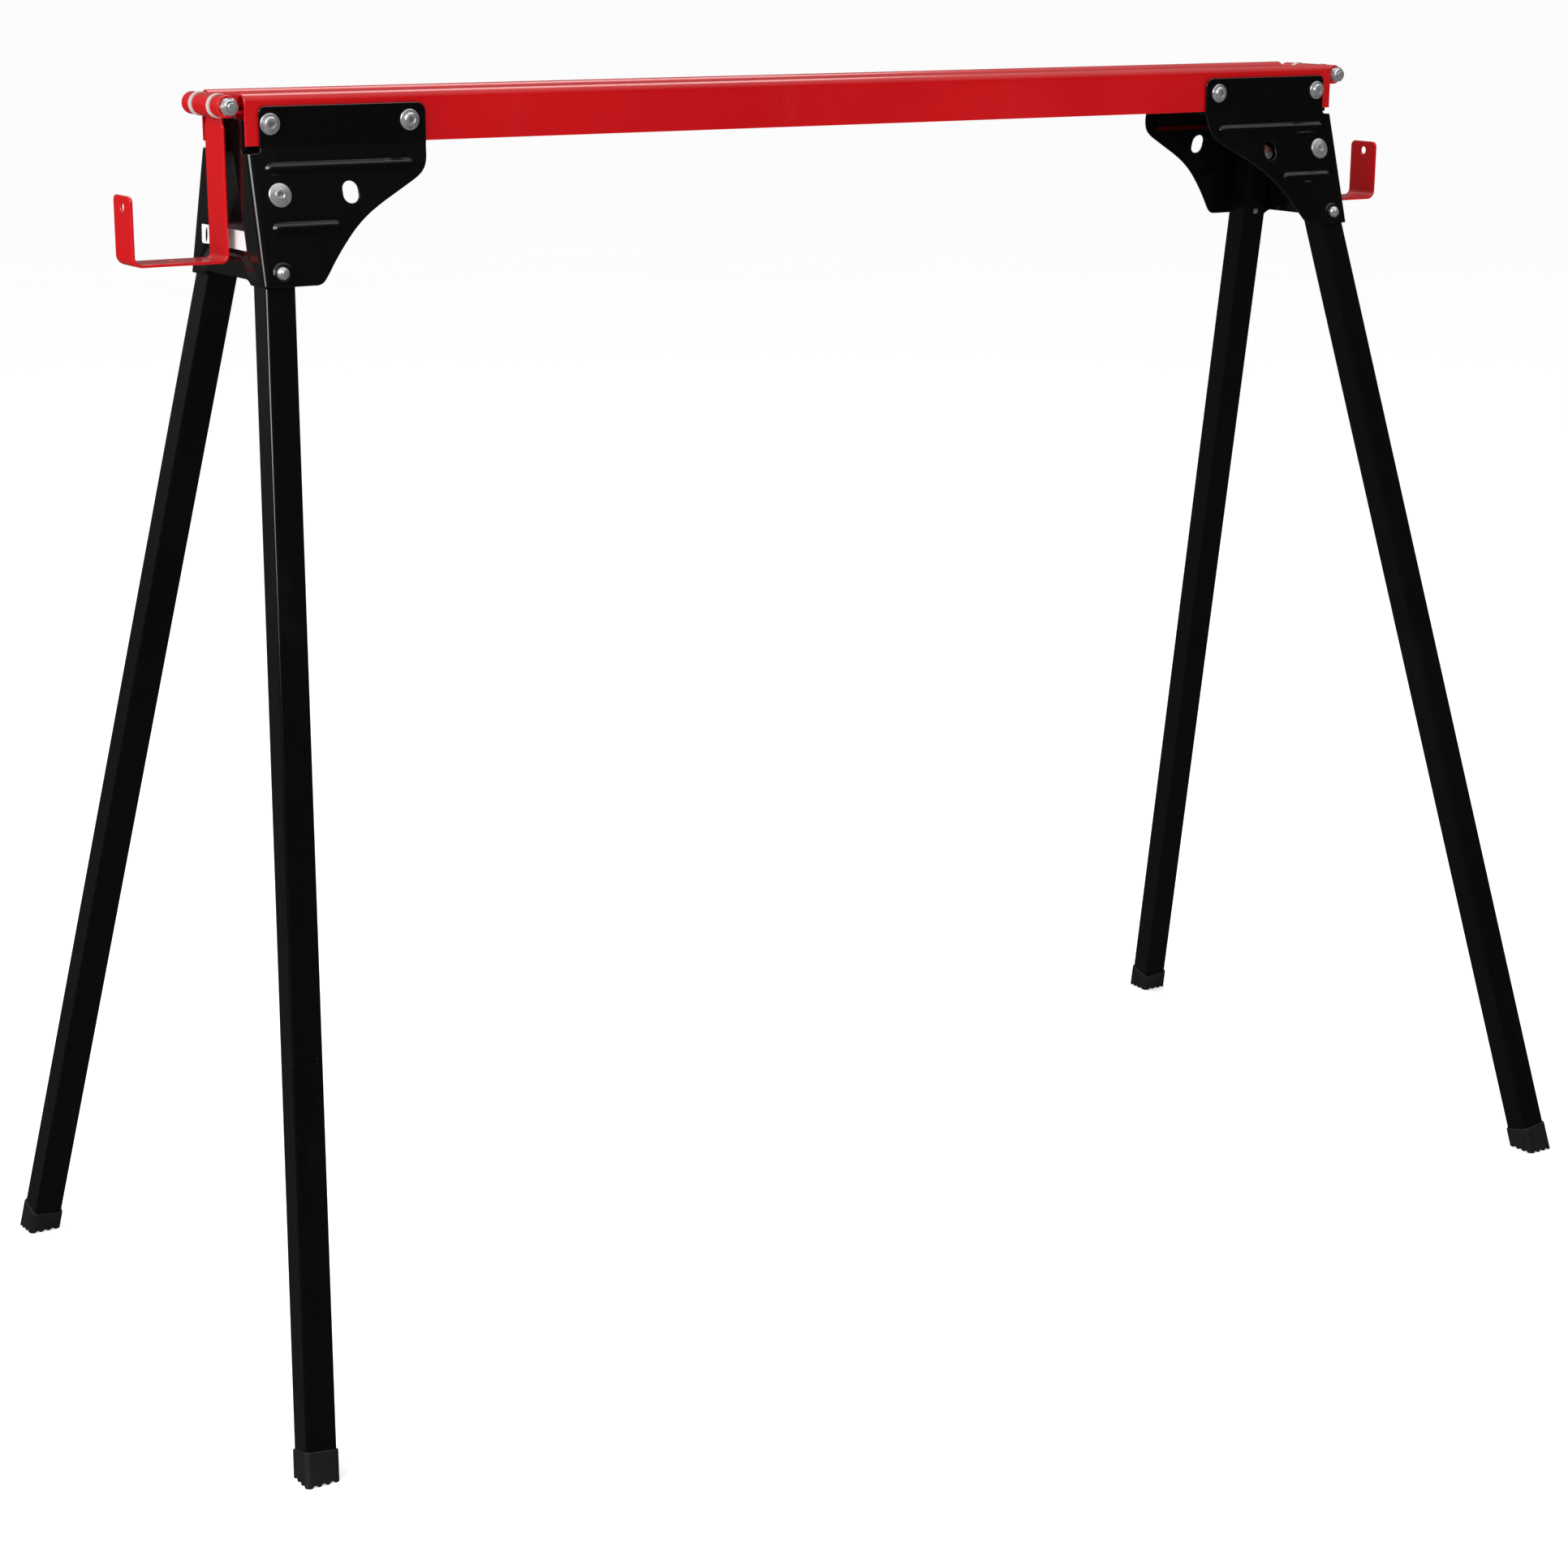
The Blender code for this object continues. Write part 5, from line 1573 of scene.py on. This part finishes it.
def hook_mesh():
    """A strap rolled into the middle knuckle, hanging to a foot and an upturned tip, for the left end."""
    lean = math.acos((STRAP_JOG_R + HINGE[0] - STRAP_O) / (KNUCKLE_R + STRAP_JOG_R))
    turn = math.degrees(lean)
    drop = -(KNUCKLE_R + STRAP_JOG_R) * math.sin(lean)
    strap = STRAP_O - HINGE[0]
    foot = HINGE[1] - FOOT_Z
    tip = TIP_O - HINGE[0]
    chains = [
        arc(0, 0, KNUCKLE_R, -80, 180 + turn, 56), arc(
            strap - STRAP_JOG_R, drop, STRAP_JOG_R, turn, 0, 7
        )[1:],
        arc(strap + 4.0, foot + 4.0, 4.0, 180, 270, 12), arc(tip - 5.5, foot + 5.5, 5.5, 270, 360, 14),
        [(tip, HINGE[1] - TIP_Z)],
    ]
    points = [p for chain in chains for p in chain]
    path = Path(points)
    straight = len(chains[0]) + len(chains[1]) - 1
    bend_end = straight + len(chains[2])
    total = path.lengths[-1]
    shoulder = path.lengths[straight] + (drop - (HINGE[1] - SHOULDER_Z))
    step = eased([
        (shoulder - 3.2, KNUCKLE_Y), (shoulder - 1.2, KNUCKLE_Y + 0.3), (shoulder, (KNUCKLE_Y + STRAP_Y) / 2),
        (shoulder + 1.2, STRAP_Y - 0.3), (shoulder + 3.2, STRAP_Y),
    ], 4)
    right = [(0, KNUCKLE_Y), *step, *arc(total - 4, STRAP_Y - 4, 4, 90, 0, 10)]
    outline = right + [(u, -v) for u, v in reversed(right)]
    foot_at = path.lengths[bend_end] + (37.9 - HINGE[0]) - points[bend_end][0]
    holes = [circle(foot_at, 0, 2.5, 32), circle(total - 6.9, 0, 2.75, 32)]
    return sheet(
        "hook", strip_surface(path), outline, holes, path.creases(-20, 20), STRAP_T, rim=0.85, hold=0.7,
    )


def leaf_mesh():
    """The plate under the valley floor with its two outer knuckles. Made for the left end."""
    level = HINGE[1] - LEAF_Z
    lean = math.acos((LEAF_JOG_R - level) / (KNUCKLE_R + LEAF_JOG_R))
    turn = math.degrees(lean)
    inner = -(KNUCKLE_R + LEAF_JOG_R) * math.sin(lean)
    points = [
        (LEAF_END - HINGE[0], level), *arc(inner, level - LEAF_JOG_R, LEAF_JOG_R, 90, 90 - turn, 7),
        *arc(0, 0, KNUCKLE_R, -90 - turn, 165, 52)[1:],
    ]
    path = Path(points)
    total = path.lengths[-1]
    notch = path.lengths[1] + (-HINGE[0] - 1.5 - inner)
    gap = LEAF_GAP_Y
    outline = [
        *arc(4, -LEAF_Y + 4, 4, 180, 270, 8), (total, -LEAF_Y), (total, -gap),
        *arc(notch + 1.5, -gap + 1.5, 1.5, 270, 180, 5), *arc(notch + 1.5, gap - 1.5, 1.5, 180, 90, 5),
        (total, gap), (total, LEAF_Y), *arc(4, LEAF_Y - 4, 4, 90, 180, 8),
    ]
    return sheet("leaf", strip_surface(path), outline, [], path.creases(-30, 30), STRAP_T, rim=0.8, hold=0.6)


def hinge_axis(end):
    return hinge_place(end) @ frame_of((0, 0, 0), (1, 0, 0), (0, 0, 1), (0, -1, 0))


# ---- stage ----


def make_world():
    """White for the camera, even light for dull surfaces, for gloss a room bright behind, dark in front."""
    world = bpy.data.worlds.new("studio")
    bpy.context.scene.world = world
    world.use_nodes = True
    tree = world.node_tree
    tree.nodes.clear()
    ray = node(tree, "ShaderNodeLightPath")
    where = node(
        tree, "ShaderNodeSeparateXYZ", {"Vector": node(tree, "ShaderNodeTexCoord").outputs["Generated"]}
    )
    behind = spread(tree, where.outputs["Y"], 0.1, 0.85, 0.0, 0.13)
    behind = maths(tree, "MULTIPLY", behind, spread(tree, where.outputs["Z"], -0.15, 0.15, 0.2, 1.0))
    overhead = spread(tree, where.outputs["Z"], 0.35, 0.95, 0.015, 0.85)
    gloss = maths(tree, "ADD", behind, overhead)
    dull = node(tree, "ShaderNodeMix", {"Factor": ray.outputs["Is Glossy Ray"], "A": 0.6, "B": gloss})
    seen = node(
        tree, "ShaderNodeMix", {"Factor": ray.outputs["Is Camera Ray"], "A": dull.outputs[0], "B": 1.0}
    )
    light = node(tree, "ShaderNodeBackground", {"Color": (1.0, 1.0, 1.0, 1.0), "Strength": seen.outputs[0]})
    out = node(tree, "ShaderNodeOutputWorld")
    tree.links.new(light.outputs[0], out.inputs["Surface"])


def make_floor(colour):
    """A plain pale floor that reaches past the camera's view."""
    reach, count = 40.0, 64
    points = [(0.0, 0.0, 0.0)]
    points += [
        (reach * math.cos(2 * math.pi * i / count), reach * math.sin(2 * math.pi * i / count), 0.0)
        for i in range(count)
    ]
    mesh = bpy.data.meshes.new("floor")
    mesh.from_pydata(points, [], [(0, i + 1, (i + 1) % count + 1) for i in range(count)])
    mat, tree, shader = blank("Floor", 0.9, Emission_Color=(1.0, 1.0, 1.0, 1.0), Emission_Strength=0.42)
    tone = spread(tree, noise(tree, place_on_piece(tree), 2.0, 2.0), 0.2, 0.8)
    tree.links.new(
        tint(tree, shaded(colour, 0.995), shaded(colour, 1.005), tone), shader.inputs["Base Color"]
    )
    mesh.materials.append(mat)
    floor = bpy.data.objects.new("floor", mesh)
    bpy.context.scene.collection.objects.link(floor)
    floor.visible_glossy = False


def make_light(name, place, aim, size, power):
    data = bpy.data.lights.new(name, "AREA")
    data.shape, data.size, data.size_y, data.energy = "RECTANGLE", *size, power
    lamp = bpy.data.objects.new(name, data)
    lamp.matrix_world = Matrix.Translation(place) @ (
        Vector(aim) - Vector(place)
    ).to_track_quat("-Z", "Y").to_matrix().to_4x4()
    bpy.context.scene.collection.objects.link(lamp)
    return lamp


def make_camera(studio):
    data = bpy.data.cameras.new("camera")
    data.lens, data.sensor_width, data.clip_end = studio.lens, 36.0, 100.0
    camera = bpy.data.objects.new("camera", data)
    look = Vector((0.52789, 0.80914, -0.25814)).to_track_quat("-Z", "Y").to_matrix().to_4x4()
    roll = Matrix.Rotation(math.radians(0.27), 4, "Z")
    camera.matrix_world = Matrix.Translation(studio.camera) @ look @ roll
    bpy.context.scene.collection.objects.link(camera)
    bpy.context.scene.camera = camera


# ---- operators ----


class SAWHORSE_OT_beam(bpy.types.Operator):
    """Build the ridged beam"""

    bl_idname = "sawhorse.beam"
    bl_label = "Beam"

    def execute(self, context):
        rim = context.scene.sawhorse_sizes.rim / MM
        add_piece("ridged_beam", beam_mesh(rim), "red_paint", "frame", ["beam"])
        return {"FINISHED"}


class SAWHORSE_OT_brackets(bpy.types.Operator):
    """Build the two folded end brackets"""

    bl_idname = "sawhorse.brackets"
    bl_label = "End Brackets"

    def execute(self, context):
        sizes = context.scene.sawhorse_sizes
        bracket = Bracket(sizes.bead_height / MM, sizes.panel_depth / MM)
        for end, where in ENDS:
            mesh = mirrored(bracket.mesh(sizes.rim / MM), end)
            add_piece("end_bracket_" + where, mesh, "black_paint", "frame", ["bracket_" + where])
        return {"FINISHED"}


class SAWHORSE_OT_hooks(bpy.types.Operator):
    """Build the side hooks and the hinge plates under the beam"""

    bl_idname = "sawhorse.hooks"
    bl_label = "Side Hooks"

    def execute(self, context):
        for end, where in ENDS:
            place = hinge_place(end)
            hook, leaf = mirrored(hook_mesh(), end), mirrored(leaf_mesh(), end)
            add_piece(
                "strap_hook_" + where, hook, "red_paint", "hook_" + where, ["side_hook_" + where], place
            )
            add_piece("hinge_plate_" + where, leaf, "red_paint", "frame", ["hinge_leaf_" + where], place)
        return {"FINISHED"}


class SAWHORSE_OT_hinge_pins(bpy.types.Operator):
    """Build the hook hinges' bolts, lock nuts and bushings"""

    bl_idname = "sawhorse.hinge_pins"
    bl_label = "Hinge Pins"

    def execute(self, context):
        pitch = context.scene.sawhorse_sizes.thread_pitch / MM
        axes = [hinge_axis(end) for end, _ in ENDS]
        nut_low = LEAF_Y + SEAT
        tail = nut_low + 6.9
        head = -LEAF_Y - SEAT
        rings = [ring(0, tail), ring(BOLT_R - 0.75, tail), ring(BOLT_R - 0.42, tail - 0.35)]
        rings += threaded(BOLT_R, LEAF_Y - 6.0, tail - 0.4, pitch)[::-1]
        rings += [ring(BOLT_R, LEAF_Y - 6.1), ring(BOLT_R, head)]
        profile = [(4.6, head), (4.9, head - 0.3), (4.9, head - 3.3), (4.75, head - 3.7), (4.4, head - 4.0)]
        rings += [ring(r, z) for r, z in profile]
        socket = [
            hexagon(4.4, head - 4.0), hexagon(4.0, head - 3.8), hexagon(4.0, head - 1.8), ring(0, head - 1.4)
        ]
        bolt = stack("bolt", rings + socket)
        names = [where for _, where in ENDS]
        add_piece(
            "hinge_bolts", copies(bolt, axes, "zinc", 1.0, 3), "zinc", "frame",
            ["hook_bolt_" + n for n in names], metres=True
        )
        nuts = copies(nut_mesh(nut_low, nut_low + 6.0, 1.5), axes, "zinc", 0.12, 5)
        add_piece("hinge_lock_nuts", nuts, "zinc", "frame", ["hook_nut_" + n for n in names], metres=True)
        low, high = KNUCKLE_Y + 0.2, LEAF_GAP_Y - 0.2
        profile = [
            (3.15, low - 8), (
                SLEEVE_R - 0.1, low - 8
            ), (SLEEVE_R, low - 7.9), (SLEEVE_R, low), (7.2, low), (7.4, low + 0.2),
            (7.4, high - 0.2), (7.2, high), (SLEEVE_R, high), (SLEEVE_R, high + 7.9), (
                SLEEVE_R - 0.1, high + 8
            ), (3.15, high + 8),
        ]
        bush = stack("bushing", [ring(r, z) for r, z in profile], closed=True)
        flipped = [axis @ Matrix.Rotation(turn, 4, "X") for axis in axes for turn in (0, math.pi)]
        replaced = [f"hook_bushing_{where}_{row}" for where in names for _, row in ROWS]
        add_piece("hinge_bushings", copies(bush, flipped, "nylon"), "nylon", "frame", replaced, metres=True)
        return {"FINISHED"}


class SAWHORSE_OT_beam_bolts(bpy.types.Operator):
    """Build the flanged bolts and lock nuts that hold the brackets to the beam"""

    bl_idname = "sawhorse.beam_bolts"
    bl_label = "Beam Bolts"

    def execute(self, context):
        pitch = context.scene.sawhorse_sizes.thread_pitch / MM
        places, labels = beam_bolt_places()
        inner = PLATE_GAP + PLATE_T + BEAM_T
        bolt = bolt_mesh(FLANGED_HEAD, -inner - 6.4, -inner + 0.5, 3.7, 2.2, 4.0, pitch)
        mesh = copies(bolt, places, "zinc", 3.0, 11)
        add_piece("flanged_bolts", mesh, "zinc", "frame", ["beam_bolt_" + n for n in labels], metres=True)
        nut = nut_mesh(SEAT, 5.2)
        turned = [m @ Matrix.Translation((0, 0, -inner)) @ Matrix.Rotation(math.pi, 4, "X") for m in places]
        mesh = copies(nut, turned, "zinc", 3.0, 17)
        add_piece("beam_lock_nuts", mesh, "zinc", "frame", ["beam_nut_" + n for n in labels], metres=True)
        return {"FINISHED"}


class SAWHORSE_OT_pivots(bpy.types.Operator):
    """Build the legs' pivot bolts, spacers and lock nuts"""

    bl_idname = "sawhorse.pivots"
    bl_label = "Leg Pivots"

    def execute(self, context):
        pitch = context.scene.sawhorse_sizes.thread_pitch / MM
        face = LEG_GAP + PLATE_T
        places = [across(place, 0, face) for place, _ in legs()]
        labels = [label for _, label in legs()]
        bolt = bolt_mesh(LOW_HEAD, -face - TUBE - 8.0, -face - TUBE + 2.0, 2.4, 1.8, 3.9, pitch)
        mesh = copies(bolt, places, "zinc", 3.0, 23)
        add_piece("pivot_bolts", mesh, "zinc", "frame", ["pivot_bolt_" + n for n in labels], metres=True)
        spacer = washer_mesh(8.0, 3.2, -face + SEAT, -PLATE_T - SEAT)
        add_piece(
            "pivot_spacers", copies(spacer, places, "nylon"), "nylon", "frame",
            ["pivot_washer_" + n for n in labels], metres=True
        )
        nut = nut_mesh(0.3, 6.3)
        turned = [
            m @ Matrix.Translation((0, 0, -face - TUBE)) @ Matrix.Rotation(math.pi, 4, "X") for m in places
        ]
        mesh = copies(nut, turned, "zinc", 0.3, 29)
        add_piece("pivot_lock_nuts", mesh, "zinc", "frame", ["pivot_nut_" + n for n in labels], metres=True)
        return {"FINISHED"}


class SAWHORSE_OT_legs(bpy.types.Operator):
    """Build the four square-tube legs"""

    bl_idname = "sawhorse.legs"
    bl_label = "Legs"

    def execute(self, context):
        for place, label in legs():
            tube = run_tree(
                "Square Tube", bpy.data.meshes.new("tube"), Finish=finish(
                    "black_paint"
                ), Width=TUBE * MM, Wall=TUBE_T * MM,
                Corner_Radius=TUBE_R * MM, Top=LEG_TOP * MM, Bottom=LEG_END * MM, Bolt_Hole=HOLE_R * MM,
                Button_Hole=(BUTTON_R + 0.3) * MM, Nub_Hole=2.4 * MM, Button_Place=BUTTON_Q * MM,
            )
            tube.transform(Matrix.Scale(1 / MM, 4))
            mesh = mark_edges(evened(soft_shading(tube), 0.2), 26, 60)
            add_piece(
                "leg_tube_" + label, mesh, "black_paint", "leg_assembly_" + label, ["leg_" + label], place
            )
        return {"FINISHED"}


class SAWHORSE_OT_foot_caps(bpy.types.Operator):
    """Build the four foot caps with their treads"""

    bl_idname = "sawhorse.foot_caps"
    bl_label = "Foot Caps"

    def execute(self, context):
        sizes = context.scene.sawhorse_sizes
        for place, label in legs():
            grooves = run_tree(
                "Tread Grooves", bpy.data.meshes.new("grooves"), Finish=finish(
                    "cap_rubber"
                ), Pitch=sizes.tread_pitch / MM,
                Radius=sizes.tread_radius / MM, Length=60.0, Count=3, Depth_Offset=-0.7,
            )
            mesh = cap_mesh(place, grooves)
            add_piece(
                "tread_cap_" + label, mesh, "cap_rubber", "leg_assembly_" + label, ["foot_cap_" + label],
                place
            )
        return {"FINISHED"}


class SAWHORSE_OT_snap_buttons(bpy.types.Operator):
    """Build the legs' snap buttons and their leaf springs"""

    bl_idname = "sawhorse.snap_buttons"
    bl_label = "Snap Buttons"

    def execute(self, context):
        for place, label in legs():
            at = across(place, BUTTON_Q)
            add_piece(
                "detent_button_" + label, button_mesh(), "zinc", "button_" + label, ["snap_button_" + label],
                at
            )
            add_piece(
                "detent_spring_" + label, spring_mesh(), "spring_steel", "leg_assembly_" + label,
                ["button_spring_" + label], place,
            )
        return {"FINISHED"}


class SAWHORSE_OT_label(bpy.types.Operator):
    """Stick the blank label in the left end wall's panel"""

    bl_idname = "sawhorse.label"
    bl_label = "Blank Label"

    def execute(self, context):
        sizes = context.scene.sawhorse_sizes
        bracket = Bracket(sizes.bead_height / MM, sizes.panel_depth / MM)
        wide, tall = (v / MM / 2 for v in sizes.label)
        level = BEND_Z + 56.4
        film, middle = 0.12, 4.0

        def surface(y, z):
            s = (z - BEND_Z) / math.cos(SPLAY)
            half = bracket.wall_half(s)
            lifts = [bracket.lift(WALL_PARAM * ((y + k) / half - 1), s) for k in (0, -2, -1, 1, 2)]
            pressed = max(lifts[0], sum(lifts) / len(lifts))
            x = -BEAM_HALF + bracket.wall_x(s) - pressed - PLATE_T / 2 - film / 2
            return Vector((x - 0.02, y, HEIGHT - z)), Vector((-1, 0, 0))

        ends, rows = (middle - wide, middle + wide), (level - tall, level + tall)
        corners = [
            (ends[0], rows[0], 1.2), (ends[1], rows[0], 1.2), (ends[1], rows[1], 1.2), (ends[0], rows[1], 1.2)
        ]
        across_step = [
            [
                (side * y / 2, rows[0] - 1), (side * y / 2, rows[1] + 1)
            ] for side in (-1, 1) for y in range(48, 69)
        ]
        mesh = sheet("label", surface, rounded(corners, 5), [], across_step, film, rim=0.05, hold=0.3)
        add_piece("blank_label", mesh, "nylon", "frame", material=finish("label"))
        return {"FINISHED"}


class SAWHORSE_OT_stage(bpy.types.Operator):
    """Set the floor, the studio light and the camera"""

    bl_idname = "sawhorse.stage"
    bl_label = "Stage"

    def execute(self, context):
        studio = context.scene.sawhorse_studio
        context.scene.view_settings.view_transform = "Standard"
        make_world()
        make_floor(studio.floor)
        make_light("key", (-2.4, -0.8, 2.0), (0.0, 0.0, 0.5), (1.5, 1.5), studio.key)
        make_light(
            "fill", (2.4, -1.6, 0.95), (0.0, 0.0, 0.6), (1.0, 1.6), studio.key * FILL_SHARE
        ).visible_glossy = False
        make_light("top", (0.2, 0.9, 2.6), (0.0, 0.0, 0.7), (2.4, 1.0), studio.key * 0.5)
        make_camera(studio)
        return {"FINISHED"}


OPERATORS = (
    SAWHORSE_OT_stage, SAWHORSE_OT_beam, SAWHORSE_OT_brackets, SAWHORSE_OT_hooks, SAWHORSE_OT_hinge_pins,
    SAWHORSE_OT_beam_bolts, SAWHORSE_OT_pivots, SAWHORSE_OT_legs, SAWHORSE_OT_foot_caps,
    SAWHORSE_OT_snap_buttons,
    SAWHORSE_OT_label,
)


class SAWHORSE_PT_panel(bpy.types.Panel):
    """The sawhorse's pieces and settings"""

    bl_idname = "SAWHORSE_PT_panel"
    bl_label = "Folding Sawhorse"
    bl_space_type = "VIEW_3D"
    bl_region_type = "UI"
    bl_category = "Sawhorse"

    def draw(self, context):
        for settings in (
            context.scene.sawhorse_sizes, context.scene.sawhorse_finishes, context.scene.sawhorse_studio
        ):
            box = self.layout.box()
            for name in settings.__annotations__:
                box.prop(settings, name)
        column = self.layout.column(align=True)
        for operator in OPERATORS:
            column.operator(operator.bl_idname)


SETTINGS = (
    ("sawhorse_sizes", SawhorseSizes), (
        "sawhorse_finishes", SawhorseFinishes
    ), ("sawhorse_studio", SawhorseStudio),
)
CLASSES = (*(cls for _, cls in SETTINGS), *OPERATORS, SAWHORSE_PT_panel)


def register():
    for cls in CLASSES:
        bpy.utils.register_class(cls)
    for name, cls in SETTINGS:
        setattr(bpy.types.Scene, name, bpy.props.PointerProperty(type=cls))


def unregister():
    for name, _ in SETTINGS:
        delattr(bpy.types.Scene, name)
    for cls in reversed(CLASSES):
        bpy.utils.unregister_class(cls)


def main():
    register()
    for operator in OPERATORS:
        getattr(bpy.ops.sawhorse, operator.bl_idname.split(".")[1])()


if __name__ == "__main__":
    main()
